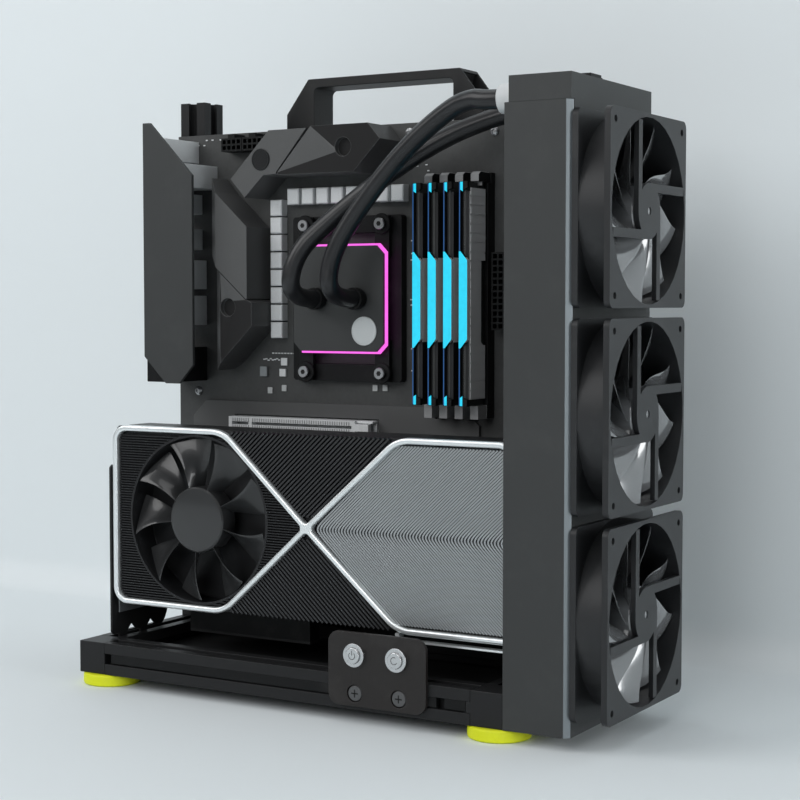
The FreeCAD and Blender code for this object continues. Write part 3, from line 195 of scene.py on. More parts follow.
def node_group(name, kind, inputs, outputs):
    """An empty node group with its inputs (name, kind of socket, default) and outputs."""
    tree = bpy.data.node_groups.new(name, kind)
    for label, value, default in inputs:
        item = tree.interface.new_socket(name=label, in_out="INPUT", socket_type="NodeSocket" + value)
        if default is not None:
            item.default_value = default
    for label, value in outputs:
        tree.interface.new_socket(name=label, in_out="OUTPUT", socket_type="NodeSocket" + value)
    return tree, tree.nodes.new("NodeGroupInput"), tree.nodes.new("NodeGroupOutput")


def set_inputs(node, values):
    """Sets a node's inputs by name, with underscores for spaces."""
    for name, value in values.items():
        node.inputs[name.replace("_", " ").title()].default_value = value
    return node


def new_node(tree, kind, **values):
    return set_inputs(tree.nodes.new(kind), values)


def wire(tree, *links):
    """Makes links, each given as a node, its output, a node and its input."""
    for source, output, target, entry in links:
        tree.links.new(source.outputs[output], target.inputs[entry])


def math_node(tree, operation, *values):
    """A maths node whose inputs are numbers or pairs of a node and its output."""
    node = tree.nodes.new("ShaderNodeMath")
    node.operation = operation
    for index, value in enumerate(values):
        if isinstance(value, tuple):
            wire(tree, (*value, node, index))
        else:
            node.inputs[index].default_value = value
    return node


def build_grain_group():
    """Fine grain and broad unevenness: a tone, a roughness and a height that vary over a surface."""
    tree, given, result = node_group(
        "surface grain",
        "ShaderNodeTree",
        (
            ("Color", "Color", (0.5, 0.5, 0.5, 1.0)), ("Tone Spread", "Float", 0.1),
            ("Roughness", "Float", 0.5), ("Roughness Spread", "Float", 0.1),
            ("Grain Scale", "Float", 900.0), ("Broad Scale", "Float", 18.0),
            ("Stretch", "Vector", (1.0, 1.0, 1.0)),
        ),
        (("Color", "Color"), ("Roughness", "Float"), ("Height", "Float")),
    )
    place = tree.nodes.new("ShaderNodeTexCoord")
    stretch = tree.nodes.new("ShaderNodeVectorMath")
    stretch.operation = "MULTIPLY"
    fine = new_node(tree, "ShaderNodeTexNoise", detail=3.0)
    broad = new_node(tree, "ShaderNodeTexNoise", detail=5.0, roughness=0.62)
    both = math_node(tree, "ADD", (fine, "Fac"), (broad, "Fac"))
    centred = math_node(tree, "SUBTRACT", (both, 0), 1.0)
    tone = math_node(tree, "MULTIPLY", (centred, 0), (given, "Tone Spread"))
    factor = math_node(tree, "ADD", (tone, 0), 1.0)
    shade = tree.nodes.new("ShaderNodeVectorMath")
    shade.operation = "SCALE"
    uneven = math_node(tree, "SUBTRACT", (broad, "Fac"), 0.5)
    spread = math_node(tree, "MULTIPLY", (uneven, 0), (given, "Roughness Spread"))
    rough = math_node(tree, "ADD", (given, "Roughness"), (spread, 0))
    wire(
        tree,
        (place, "Object", stretch, 0),
        (given, "Stretch", stretch, 1),
        (stretch, 0, fine, "Vector"),
        (given, "Grain Scale", fine, "Scale"),
        (place, "Object", broad, "Vector"),
        (given, "Broad Scale", broad, "Scale"),
        (given, "Color", shade, 0),
        (factor, 0, shade, "Scale"),
        (shade, 0, result, "Color"),
        (rough, 0, result, "Roughness"),
        (fine, "Fac", result, "Height"),
    )
    return tree


def build_dust_group():
    """A thin film of dust and handling marks laid over a colour."""
    tree, given, result = node_group(
        "handling dust",
        "ShaderNodeTree",
        (
            ("Color", "Color", (0.5, 0.5, 0.5, 1.0)),
            ("Roughness", "Float", 0.5),
            ("Amount", "Float", 0.2),
            ("Scale", "Float", 40.0),
        ),
        (("Color", "Color"), ("Roughness", "Float")),
    )
    place = tree.nodes.new("ShaderNodeTexCoord")
    cloud = new_node(tree, "ShaderNodeTexNoise", detail=8.0, roughness=0.7)
    edge = new_node(tree, "ShaderNodeMapRange", from_min=0.52, from_max=0.78)
    mask = math_node(tree, "MULTIPLY", (edge, "Result"), (given, "Amount"))
    mix = tree.nodes.new("ShaderNodeMix")
    mix.data_type = "RGBA"
    mix.inputs["B"].default_value = (0.3, 0.3, 0.29, 1.0)
    rough = math_node(tree, "ADD", (given, "Roughness"), (mask, 0))
    wire(
        tree,
        (place, "Object", cloud, "Vector"),
        (given, "Scale", cloud, "Scale"),
        (cloud, "Fac", edge, "Value"),
        (mask, 0, mix, "Factor"),
        (given, "Color", mix, "A"),
        (mix, "Result", result, "Color"),
        (rough, 0, result, "Roughness"),
    )
    return tree


GRAIN = build_grain_group()
DUST = build_dust_group()


def material(name):
    """An empty node material and its Principled shader."""
    made = bpy.data.materials.new(name)
    made.use_nodes = True
    return made, made.node_tree, made.node_tree.nodes["Principled BSDF"]


def use_group(tree, group, **values):
    """A placed node group with its own values."""
    node = tree.nodes.new("ShaderNodeGroup")
    node.node_tree = group
    return set_inputs(node, values)


def finish(
    name, color, roughness, metallic=0.0, tone=0.12, spread=0.12, grain=900.0, broad=18.0,
    stretch=(1.0, 1.0, 1.0), relief=0.00002, dust=0.0, coat=0.0, shine=0.35
):
    """A material made of grain, an optional film of dust, and a fine relief in metres.

    Tone and spread say how far the tone and the roughness vary over it.
    """
    made, tree, shader = material(name)
    base = use_group(tree, GRAIN, color=(*color, 1.0), tone_spread=tone, grain_scale=grain)
    varied = {"roughness": roughness, "roughness_spread": spread, "broad_scale": broad}
    set_inputs(base, {**varied, "stretch": stretch})
    last = base
    if dust:
        last = use_group(tree, DUST, amount=dust)
        wire(tree, (base, "Color", last, "Color"), (base, "Roughness", last, "Roughness"))
    wire(tree, (last, "Color", shader, "Base Color"), (last, "Roughness", shader, "Roughness"))
    set_inputs(shader, {"metallic": metallic, "coat_weight": coat})
    shader.inputs["Specular IOR Level"].default_value = shine
    if relief:
        bump = new_node(tree, "ShaderNodeBump", strength=1.0, distance=relief)
        wire(tree, (base, "Height", bump, "Height"), (bump, "Normal", shader, "Normal"))
    return made


def glow(name, color, strength):
    """A translucent moulding lit from inside, a little uneven along its length."""
    made, tree, shader = material(name)
    base = use_group(tree, GRAIN, color=(*color, 1.0), tone_spread=0.25)
    set_inputs(base, {"grain_scale": 300.0, "broad_scale": 60.0})
    wire(tree, (base, "Color", shader, "Emission Color"))
    plain = {"base_color": (0.02, 0.02, 0.02, 1.0), "emission_strength": strength, "roughness": 0.3}
    set_inputs(shader, plain)
    return made


def backdrop_finish():
    """Pale paper. Its back side is clear, so the wall hides nothing from behind."""
    made, tree, shader = material("pale studio paper")
    set_inputs(shader, {"base_color": (0.74, 0.79, 0.81, 1.0), "roughness": 0.7})
    clear = tree.nodes.new("ShaderNodeBsdfTransparent")
    side = tree.nodes.new("ShaderNodeNewGeometry")
    mix = tree.nodes.new("ShaderNodeMixShader")
    wire(
        tree,
        (side, "Backfacing", mix, 0),
        (shader, 0, mix, 1),
        (clear, 0, mix, 2),
        (mix, 0, tree.nodes["Material Output"], "Surface"),
    )
    return made


BLACK_BAR = finish(
    "black anodised bar", (0.017, 0.0175, 0.0185), 0.42, metallic=0.1, tone=0.2, shine=0.22
)
BLACK_PAINT = finish(
    "textured black paint", (0.014, 0.0145, 0.015), 0.5, grain=2200.0, relief=0.00005, dust=0.04, shine=0.25
)
GRAPHITE = finish(
    "graphite sheet", (0.038, 0.0405, 0.041), 0.5, metallic=0.1, grain=1800.0, relief=0.00003, dust=0.03
)
GRAPHITE_DARK = finish(
    "dark graphite casting", (0.08, 0.082, 0.083), 0.5, metallic=0.1, grain=1500.0, dust=0.03
)
# Painted highlight: the front panel's chamfer that faces right and front is coloured lighter, standing in for
# the light it catches
PAINTED_EDGE_HIGHLIGHT = finish(
    "painted edge highlight", (0.2, 0.225, 0.24), 0.42, metallic=0.5, grain=700.0, stretch=(1, 1, 0.02)
)
BOARD = finish(
    "black board lacquer", (0.055, 0.057, 0.057), 0.42, tone=0.35, grain=420.0, broad=60.0, dust=0.05
)
MOULDED = finish(
    "moulded black plastic", (0.008, 0.0085, 0.009), 0.45, grain=2600.0, relief=0.00003, dust=0.05, shine=0.15
)
FAN_PLASTIC = finish(
    "fan plastic", (0.018, 0.019, 0.0205), 0.4, grain=2000.0, relief=0.00002, dust=0.04
)
BLADE_PLASTIC = finish(
    "blade plastic", (0.13, 0.135, 0.14), 0.13, grain=1500.0, relief=0.00001, coat=1, shine=1
)
CARD_BLADE = finish(
    "dark blade plastic", (0.024, 0.025, 0.026), 0.3, grain=1500.0, relief=0.00001, coat=0.3, shine=0.45
)
PORT_METAL = finish("plated steel", (0.3, 0.32, 0.33), 0.38, metallic=0.6, grain=1200.0)
PORT_SHELL = finish("port shell", (0.6, 0.62, 0.63), 0.5, metallic=0.1, grain=1200.0)
SLOT_GREY = finish("pale slot moulding", (0.66, 0.68, 0.69), 0.45, grain=1500.0, tone=0.2)
# The last module's grey side, partly its own grey and partly painted light: painted far lighter to stand in
# for light the radiator's shadow keeps off
SPREADER_GREY_AND_PAINTED_LIGHT = finish("grey spreader side with painted light", (0.74, 0.745, 0.75), 0.45, grain=1500.0)
SLOT_END = finish("grey slot end", (0.3, 0.305, 0.31), 0.45, grain=1500.0)
# The waists' right sides, partly their own grey and partly painted light: painted pale to stand in for light
# the radiator's shadow keeps off
WAIST_GREY_AND_PAINTED_LIGHT = finish("pale waist with painted light", (0.78, 0.78, 0.77), 0.5, grain=1500.0)
CHOKE = finish("choke casting", (0.68, 0.7, 0.71), 0.5, metallic=0.1, grain=1600.0, tone=0.25)
SILVER = finish(
    "bead blasted silver", (0.86, 0.9, 0.91), 0.3, metallic=0.7, grain=3000.0, relief=0.00001
)
LIGHT_FIN = finish("satin grey fins", (0.36, 0.38, 0.39), 0.42, metallic=0.5, grain=1600.0)
GRILLE_FLOOR = finish("grille floor", (0.1, 0.105, 0.11), 0.5, metallic=0.3, grain=1600.0)
RIB = finish("dark grey rib", (0.034, 0.035, 0.037), 0.42, metallic=0.3, grain=1600.0)
DARK_FIN = finish("satin black fins", (0.018, 0.0185, 0.02), 0.42, metallic=0.3, grain=1600.0)
YELLOW = finish(
    "yellow-green rubber", (0.72, 0.78, 0.012), 0.55, tone=0.1, grain=1800.0, relief=0.00003, dust=0.12
)
HOSE = finish(
    "hose rubber", (0.013, 0.0137, 0.0155), 0.34, grain=1200.0, broad=40.0, dust=0.02, coat=0.1
)
COPPER = finish("polished copper", (0.75, 0.33, 0.18), 0.25, metallic=1.0)
STEEL = finish("turned steel", (0.42, 0.43, 0.44), 0.32, metallic=0.9, grain=900.0)
DARK_STEEL = finish("blackened steel", (0.12, 0.122, 0.125), 0.4, metallic=0.7)
CAP_STEEL = finish(
    "brushed cap steel", (0.6, 0.61, 0.62), 0.26, metallic=1.0, grain=500.0, stretch=(0.05, 1, 1)
)
DISC = finish("satin silver disc", (0.6, 0.63, 0.635), 0.4, metallic=0.5, grain=2000.0)
BADGE = finish("dark anodised disc", (0.02, 0.021, 0.022), 0.3, metallic=0.4, grain=2000.0)
COLLAR = finish("pale grey collar", (0.62, 0.64, 0.65), 0.42, grain=1800.0)
BROWN = finish(
    "brown-black plate", (0.016, 0.014, 0.0135), 0.4, tone=0.5, broad=45.0, spread=0.35, dust=0.05
)
PRINT = finish("pale print", (0.45, 0.47, 0.47), 0.6)
# Painted shade: near-black laid on the floors of hollows where shade falls, in the heatsinks' recesses and on
# the screws' drives and slots
PAINTED_SHADE = finish("shaded hollow", (0.004, 0.004, 0.0045), 0.7, relief=0.0)
CYAN = glow("cyan light", (0.01, 0.68, 0.95), 1.0)
BLUE = glow("dim blue light", (0.003, 0.09, 0.3), 0.8)
MAGENTA = glow("magenta light ring", (1.0, 0.14, 0.82), 1.1)

# Which finish each piece of the frame gets, and the width of its eased edges in millimetres
DRESSED = {
    "base_rails": (BLACK_BAR, 0.35),
    "base_plate": (BLACK_PAINT, 0.0),
    "corner_blocks": (BLACK_BAR, 0.6),
    "rear_posts": (BLACK_BAR, 0.3),
    "slot_covers": (MOULDED, 0.2),
    "feet": (YELLOW, 1.6),
    "motherboard_tray": (BLACK_PAINT, 0.4),
    "handle": (BLACK_PAINT, 0.7),
    "motherboard": (BOARD, 0.2),
    "lower_board_cover": (GRAPHITE_DARK, 0.4),
    "io_cover": (GRAPHITE, 0.5),
    "io_ports": (PORT_SHELL, 0.4),
    "vrm_heatsinks": (GRAPHITE_DARK, 0.6),
    "vrm_chokes": (CHOKE, 0.3),
    "power_connectors": (MOULDED, 0.12),
    "memory_slots": (MOULDED, 0.3),
    "memory_boards": (BOARD, 0.0),
    "memory_spreaders": (DARK_FIN, 0.3),
    "memory_light_bars": (MOULDED, 0.2),
    "expansion_slots": (SLOT_GREY, 0.2),
    "pcie_latch": (SLOT_GREY, 0.3),
    "socket_frame": (MOULDED, 0.5),
    "processor": (PORT_METAL, 0.3),
    "cold_plate": (COPPER, 0.3),
    "pump_housing": (MOULDED, 0.5),
    "light_ring": (MAGENTA, 0.0),
    "block_cover": (GRAPHITE, 0.35),
    "mounting_bracket": (MOULDED, 0.3),
    "hose_fittings": (MOULDED, 0.5),
    "radiator_core": (BLACK_PAINT, 0.0),
    "radiator_shroud": (GRAPHITE, 0.5),
    "front_panel": (GRAPHITE, 0.35),
    "card_heatsink": (DARK_FIN, 0.4),
    "card_board": (BOARD, 0.0),
    "card_back_plate": (DARK_FIN, 0.3),
    "card_bracket": (PORT_METAL, 0.1),
    "card_supports": (BLACK_PAINT, 0.3),
    "switch_plate": (BROWN, 0.5),
    "switch_bodies": (CAP_STEEL, 0.35),
    "power_button": (CAP_STEEL, 0.5),
    "reset_button": (CAP_STEEL, 0.5),
    "fan_frames": (FAN_PLASTIC, 0.45),
}
for number in range(1, MODULE_COUNT + 1):
    DRESSED["memory_latch_%d" % number] = (MOULDED, 0.3)

# Planes that part a piece's faces before they are painted, by a point and a normal
WAIST_CUTS = tuple(((0.0, 0.0, level), (0.0, 0.0, 1.0)) for level in (WAIST_LOW, WAIST_HIGH))
CUTS = {
    "light_ring": (((RING_LIT_FROM, 0.0, 0.0), (1.0, 0.0, 0.0)),),
    "memory_spreaders": WAIST_CUTS,
    "memory_light_bars": WAIST_CUTS,
}


def in_recess(c):
    """Whether a face's middle is over one of the two round recesses of the heatsinks."""
    return any(math.hypot(c.x - x, c.z - z) < 3.0 for x, z in RECESSES)


def at_waist(c):
    return WAIST_LOW < c.z < WAIST_HIGH


# Second finishes within a piece, on the faces that a test of their middle and normal picks. Some are the
# parts' own colours; others are painted highlight, painted shade or painted light
PAINTED = {
    # The front panel's right-front chamfer gets the painted highlight
    "front_panel": ((PAINTED_EDGE_HIGHLIGHT, lambda c, n: n.x > 0.4 and n.y < -0.4),),
    "expansion_slots": ((MOULDED, lambda c, n: c.y < 90.0),),
    "io_ports": ((MOULDED, lambda c, n: c.z < 240.0),),
    "light_ring": ((MOULDED, lambda c, n: c.x < RING_LIT_FROM),),
    # The modules' right sides: the last one's grey and the waists' pale grey are both partly painted light
    "memory_spreaders": (
        (SPREADER_GREY_AND_PAINTED_LIGHT, lambda c, n: n.x > 0.7 and c.x > LAST_MODULE_FROM),
        (WAIST_GREY_AND_PAINTED_LIGHT, lambda c, n: n.x > 0.7 and c.x < LAST_MODULE_FROM and at_waist(c)),
    ),
    # The light bars' right sides at the waist get the same pale grey with painted light
    "memory_light_bars": ((WAIST_GREY_AND_PAINTED_LIGHT, lambda c, n: n.x > 0.7 and at_waist(c)),),
    "memory_slots": ((SLOT_END, lambda c, n: c.z < 197.0),),
    "hose_fittings": ((COLLAR, lambda c, n: 300.0 < c.x < 350.0 and c.y < 60.0),),
    # The floors of the heatsinks' round recesses are painted with shade
    "vrm_heatsinks": ((PAINTED_SHADE, lambda c, n: n.y < -0.9 and in_recess(c)),),
}
for number in range(1, MODULE_COUNT + 1):
    PAINTED["memory_latch_%d" % number] = ((SLOT_END, lambda c, n: n.z > 0.3 or n.y < -0.3),)


def body_of_node(node):
    return frame["nodes"][node]["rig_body"]


def smooth_by_angle(mesh, degrees):
    mesh.polygons.foreach_set("use_smooth", [True] * len(mesh.polygons))
    mesh.set_sharp_from_angle(angle=math.radians(degrees))


def baked(piece):
    """Turns a piece and its modifiers into one plain mesh."""
    graph = bpy.context.evaluated_depsgraph_get()
    mesh = bpy.data.meshes.new_from_object(piece.evaluated_get(graph))
    piece.modifiers.clear()
    piece.data = mesh
    return piece


def mesh_of(work, name, angle=None):
    """The mesh of a bmesh, which is freed; smooth where its faces meet below an angle."""
    mesh = bpy.data.meshes.new(name)
    work.to_mesh(mesh)
    work.free()
    if angle is not None:
        smooth_by_angle(mesh, angle)
    return mesh


def in_scene(name, data):
    """An object in the scene."""
    made = bpy.data.objects.new(name, data)
    bpy.context.scene.collection.objects.link(made)
    return made


def new_piece(name, mesh, surface):
    mesh.materials.clear()
    mesh.materials.append(surface)
    return in_scene(name, mesh)


def dress(node, surface, edge):
    """A welded copy of a frame piece with eased edges and its finish."""
    source = frame["nodes"][node]
    work = bmesh.new()
    work.from_mesh(source.data)
    bmesh.ops.remove_doubles(work, verts=work.verts, dist=1e-6)
    flat = math.radians(0.4)
    bmesh.ops.dissolve_limit(work, angle_limit=flat, verts=work.verts, edges=work.edges, delimit=set())
    for place, normal in CUTS.get(node, ()):
        everything = work.verts[:] + work.edges[:] + work.faces[:]
        bmesh.ops.bisect_plane(work, geom=everything, plane_co=at(*place), plane_no=normal)
    piece = new_piece(node + "_skin", mesh_of(work, node + "_skin", 32), surface)
    if edge:
        ease = piece.modifiers.new("eased edges", "BEVEL")
        ease.width = edge * MM
        ease.segments = 2
        ease.limit_method = "ANGLE"
        ease.angle_limit = math.radians(33)
        ease.harden_normals = True
        baked(piece)
    for second, test in PAINTED.get(node, ()):
        paint_faces(piece, second, test)
    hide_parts(node)
    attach(piece, body_of_node(node))
    return piece


def paint_faces(piece, surface, test):
    """Gives a second finish to the faces that a test picks by their middle and their normal: a colour of the
    part's own, or painted light or shade.
    """
    piece.data.materials.append(surface)
    index = len(piece.data.materials) - 1
    for face in piece.data.polygons:
        if test((face.center - CORNER) / MM, face.normal):
            face.material_index = index


# Geometry Nodes trees


def geometry_tree(name, inputs):
    """An empty tree from geometry to geometry, with a material and the named inputs."""
    inputs = (("Geometry", "Geometry", None), *inputs, ("Material", "Material", None))
    return node_group(name, "GeometryNodeTree", inputs, (("Geometry", "Geometry"),))


def end_tree(tree, given, result, last):
    """Every tree ends in Realize Instances and Set Material, after its last node."""
    real = tree.nodes.new("GeometryNodeRealizeInstances")
    paint = tree.nodes.new("GeometryNodeSetMaterial")
    wire(
        tree,
        (last, 0, real, "Geometry"),
        (real, "Geometry", paint, "Geometry"),
        (given, "Material", paint, "Material"),
        (paint, "Geometry", result, "Geometry"),
    )


def build_bar_tree():
    """Sweeps a flat bar along each line: Depth along Facing, Thickness across it."""
    tree, given, result = geometry_tree(
        "swept bars",
        (
            ("Depth", "Float", 0.003),
            ("Thickness", "Float", 0.001),
            ("Facing", "Vector", (0.0, 1.0, 0.0)),
        ),
    )
    line = tree.nodes.new("GeometryNodeMeshToCurve")
    turn = tree.nodes.new("GeometryNodeSetCurveNormal")
    turn.mode = "FREE"
    section = tree.nodes.new("GeometryNodeCurvePrimitiveQuadrilateral")
    sweep = new_node(tree, "GeometryNodeCurveToMesh", fill_caps=True)
    flat = new_node(tree, "GeometryNodeSetShadeSmooth", shade_smooth=False)
    wire(
        tree,
        (given, "Facing", turn, "Normal"),
        (given, "Geometry", line, "Mesh"),
        (line, "Curve", turn, "Curve"),
        (turn, "Curve", sweep, "Curve"),
        (given, "Depth", section, "Width"),
        (given, "Thickness", section, "Height"),
        (section, "Curve", sweep, "Profile Curve"),
        (sweep, "Mesh", flat, "Geometry"),
    )
    end_tree(tree, given, result, flat)
    return tree


def build_point_tree():
    """Sets a copy of one template on every point, turned by a fixed rotation."""
    tree, given, result = geometry_tree(
        "set on points",
        (("Template", "Object", None), ("Rotation", "Vector", (0.0, 0.0, 0.0))),
    )
    template = tree.nodes.new("GeometryNodeObjectInfo")
    placed = tree.nodes.new("GeometryNodeInstanceOnPoints")
    wire(
        tree,
        (given, "Template", template, "Object"),
        (given, "Geometry", placed, "Points"),
        (template, "Geometry", placed, "Instance"),
        (given, "Rotation", placed, "Rotation"),
    )
    end_tree(tree, given, result, placed)
    return tree


def build_rotor_tree():
    """Repeats a blade about the X axis and joins the hub that comes in."""
    tree, given, result = geometry_tree(
        "rotor blades",
        (("Blade", "Object", None), ("Count", "Int", BLADES), ("Phase", "Float", 0.0)),
    )
    blade = tree.nodes.new("GeometryNodeObjectInfo")
    ring = new_node(tree, "GeometryNodeMeshLine", offset=(0.0, 0.0, 0.0))
    placed = tree.nodes.new("GeometryNodeInstanceOnPoints")
    index = tree.nodes.new("GeometryNodeInputIndex")
    step = math_node(tree, "DIVIDE", 2 * math.pi, (given, "Count"))
    angle = math_node(tree, "MULTIPLY", (index, 0), (step, 0))
    turned = math_node(tree, "ADD", (angle, 0), (given, "Phase"))
    spin = tree.nodes.new("ShaderNodeCombineXYZ")
    both = tree.nodes.new("GeometryNodeJoinGeometry")
    wire(
        tree,
        (given, "Blade", blade, "Object"),
        (given, "Count", ring, "Count"),
        (turned, 0, spin, "X"),
        (ring, "Mesh", placed, "Points"),
        (blade, "Geometry", placed, "Instance"),
        (spin, 0, placed, "Rotation"),
        (given, "Geometry", both, "Geometry"),
        (placed, "Instances", both, "Geometry"),
    )
    end_tree(tree, given, result, both)
    return tree


BAR_TREE = build_bar_tree()
POINT_TREE = build_point_tree()
ROTOR_TREE = build_rotor_tree()


def add_tree(piece, tree, **values):
    """Puts a tree on a piece and sets its inputs by their identifiers."""
    modifier = piece.modifiers.new(tree.name, "NODES")
    modifier.node_group = tree
    for item in tree.interface.items_tree:
        if item.in_out == "INPUT" and item.name.lower() in values:
            modifier[item.identifier] = values[item.name.lower()]


def line_mesh(name, lines):
    """A mesh of loose edges, one run of edges for each line of points."""
    points = []
    edges = []
    for line in lines:
        first = len(points)
        points += [at(*point) for point in line]
        edges += [(first + i, first + i + 1) for i in range(len(line) - 1)]
    mesh = bpy.data.meshes.new(name)
    mesh.from_pydata(points, edges, [])
    return mesh


def bars(name, lines, depth, thickness, surface, body=BENCH, nodes=(), facing=(0.0, 1.0, 0.0)):
    """Bars of one section along lines given in bench millimetres."""
    piece = new_piece(name, line_mesh(name, lines), surface)
    add_tree(piece, BAR_TREE, depth=depth * MM, thickness=thickness * MM, facing=facing, material=surface)
    baked(piece)
    if nodes:
        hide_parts(*nodes)
    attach(piece, body)
    return piece


def copies(name, template, places, surface, turn=(0.0, 0.0, 0.0), body=BENCH):
    """Copies of a template mesh, one at each place given in bench millimetres."""
    mesh = bpy.data.meshes.new(name)
    mesh.from_pydata([at(*place) for place in places], [], [])
    piece = new_piece(name, mesh, surface)
    pattern = new_piece(name + "_pattern", template, surface)
    add_tree(piece, POINT_TREE, template=pattern, rotation=turn, material=surface)
    baked(piece)
    bpy.data.objects.remove(pattern)
    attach(piece, body)
    return piece


def lathe(name, profile, steps=32):
    """A turned shape about the X axis from (along, radius) points in millimetres."""
    work = bmesh.new()
    rings = []
    for along, radius in profile:
        if radius < 1e-6:
            rings.append([work.verts.new((along * MM, 0, 0))])
            continue
        turns = [2 * math.pi * step / steps for step in range(steps)]
        places = [(along, radius * math.cos(angle), radius * math.sin(angle)) for angle in turns]
        rings.append([work.verts.new([v * MM for v in place]) for place in places])
    for low, high in zip(rings, rings[1:]):
        for step in range(steps):
            after = (step + 1) % steps
            if len(low) == 1:
                work.faces.new((low[0], high[step], high[after]))
            elif len(high) == 1:
                work.faces.new((low[step], high[0], low[after]))
            else:
                work.faces.new((low[step], high[step], high[after], low[after]))
    bmesh.ops.remove_doubles(work, verts=work.verts, dist=1e-7)
    bmesh.ops.recalc_face_normals(work, faces=work.faces)
    return mesh_of(work, name, 30)


def brick(name, width, depth, height, ease):
    """A small block, centred, with eased edges."""
    work = bmesh.new()
    bmesh.ops.create_cube(work, size=1.0)
    bmesh.ops.scale(work, vec=Vector((width, depth, height)) * MM, verts=work.verts)
    if ease:
        bmesh.ops.bevel(work, geom=work.edges[:], offset=ease * MM, segments=1, affect="EDGES")
    return mesh_of(work, name)


def plates(name, outlines, front, back, surface, body=BENCH):
    """Flat plates between two depths from (x, z) outlines, all in bench millimetres."""
    work = bmesh.new()
    for outline in outlines:
        near = [work.verts.new(at(x, front, z)) for x, z in outline]
        far = [work.verts.new(at(x, back, z)) for x, z in outline]
        work.faces.new(near)
        work.faces.new(far[::-1])
        for index in range(len(near)):
            after = (index + 1) % len(near)
            work.faces.new((near[index], far[index], far[after], near[after]))
    bmesh.ops.recalc_face_normals(work, faces=work.faces)
    piece = new_piece(name, mesh_of(work, name), surface)
    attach(piece, body)
    return piece


# Turns a turned shape's outer end, its +X, to the front
FACING_FRONT = (0.0, 0.0, math.radians(-90))


# Fan rotors


def blade_mesh(name, hub, tip, length, spans, thickness):
    """One curved blade about the X axis, thickest near its middle."""
    across = 16
    along = 12
    edge = 0.12
    root_span, tip_span, root_lead = spans

    def point(s, t, side):
        """A point at shares s from root to tip and t along the blade, on one of its sides."""
        radius = hub + (tip - hub) * s
        span = root_span + (tip_span - root_span) * s
        angle = math.radians(root_lead * (1 - s) ** LEAD_CURVE - span * (1 - t))
        x = length * (t + BLADE_BELLY * math.sin(math.pi * t))
        body = thickness * math.sin(math.pi * min(max(t, 0.0), 1.0)) ** 0.5 / 2 + edge
        angle += side * body / radius
        return Vector((x, radius * math.cos(angle), radius * math.sin(angle))) * MM

    work = bmesh.new()
    grids = []
    for side in (1, -1):
        grid = [
            [work.verts.new(point(s / across, t / along, side)) for t in range(along + 1)]
            for s in range(across + 1)
        ]
        for s in range(across):
            for t in range(along):
                work.faces.new((grid[s][t], grid[s][t + 1], grid[s + 1][t + 1], grid[s + 1][t]))
        grids.append(grid)
    top, low = grids
    rim = [(s, 0) for s in range(across + 1)]
    rim += [(across, t) for t in range(1, along + 1)]
    rim += [(s, along) for s in range(across - 1, -1, -1)]
    rim += [(0, t) for t in range(along - 1, 0, -1)]
    for (s0, t0), (s1, t1) in zip(rim, rim[1:] + rim[:1]):
        work.faces.new((top[s0][t0], top[s1][t1], low[s1][t1], low[s0][t0]))
    bmesh.ops.recalc_face_normals(work, faces=work.faces)
    return mesh_of(work, name, 45)


def rotor_piece(node, hub, tip, depth, spans, phase, hub_profile, turn, surface):
    """A hub and its blades, turned and moved onto the frame's rotor, which they replace."""
    piece = new_piece(node + "_skin", lathe(node + "_hub", hub_profile, 64), surface)
    blade = blade_mesh(node + "_blade", hub - 1.0, tip, depth * BLADE_SHARE, spans, BLADE_THICKNESS)
    blade.transform(Matrix.Translation((depth * (1 - BLADE_SHARE) / 2 * MM, 0, 0)))
    pattern = new_piece(node + "_blade", blade, surface)
    add_tree(piece, ROTOR_TREE, blade=pattern, count=BLADES, phase=math.radians(phase), material=surface)
    baked(piece)
    bpy.data.objects.remove(pattern)
    low, high = (Vector(v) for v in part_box(node))
    middle = (low + high) / 2
    if turn == 0:
        start = Vector((low.x, middle.y, middle.z))
    elif turn > 0:
        start = Vector((middle.x, low.y, middle.z))
    else:
        start = Vector((middle.x, high.y, middle.z))
    piece.data.transform(Matrix.Translation(start) @ Matrix.Rotation(math.radians(turn), 4, "Z"))
    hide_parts(node)
    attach(piece, body_of_node(node))
    return piece


def make_rotors():
    """The rotors of the radiator's fans and of the card's two, whose hub faces are rounder."""
    face = [(0.0, 0.0), (0.0, FAN_HUB - 1.2), (0.9, FAN_HUB)]
    back = [(FAN_DEPTH - 1.0, FAN_HUB), (FAN_DEPTH, FAN_HUB - 1.0), (FAN_DEPTH, 2.5)]
    profile = [*face, *back, (FAN_DEPTH + 3.1, 2.5), (FAN_DEPTH + 3.1, 0.0)]
    form = (FAN_HUB, FAN_TIP, FAN_DEPTH, FAN_SPANS, FAN_PHASE, profile)
    for name in FAN_NAMES:
        rotor_piece("fan_rotor_" + name, *form, 0, BLADE_PLASTIC)
    depth = CARD_ROTOR_DEPTH
    face = [(0.0, 0.0), (0.15, CARD_HUB - 4.0), (0.5, CARD_HUB - 1.4), (1.4, CARD_HUB - 0.35)]
    back = [(2.6, CARD_HUB), (depth, CARD_HUB), (depth, 2.0), (depth + 3.5, 2.0), (depth + 3.5, 0.0)]
    profile = [*face, *back]
    form = (CARD_HUB, CARD_TIP, depth, CARD_SPANS, CARD_PHASE, profile)
    for name, turn in (("card_front_rotor", 90), ("card_rear_rotor", -90)):
        rotor_piece(name, *form, turn, CARD_BLADE)


# Hoses


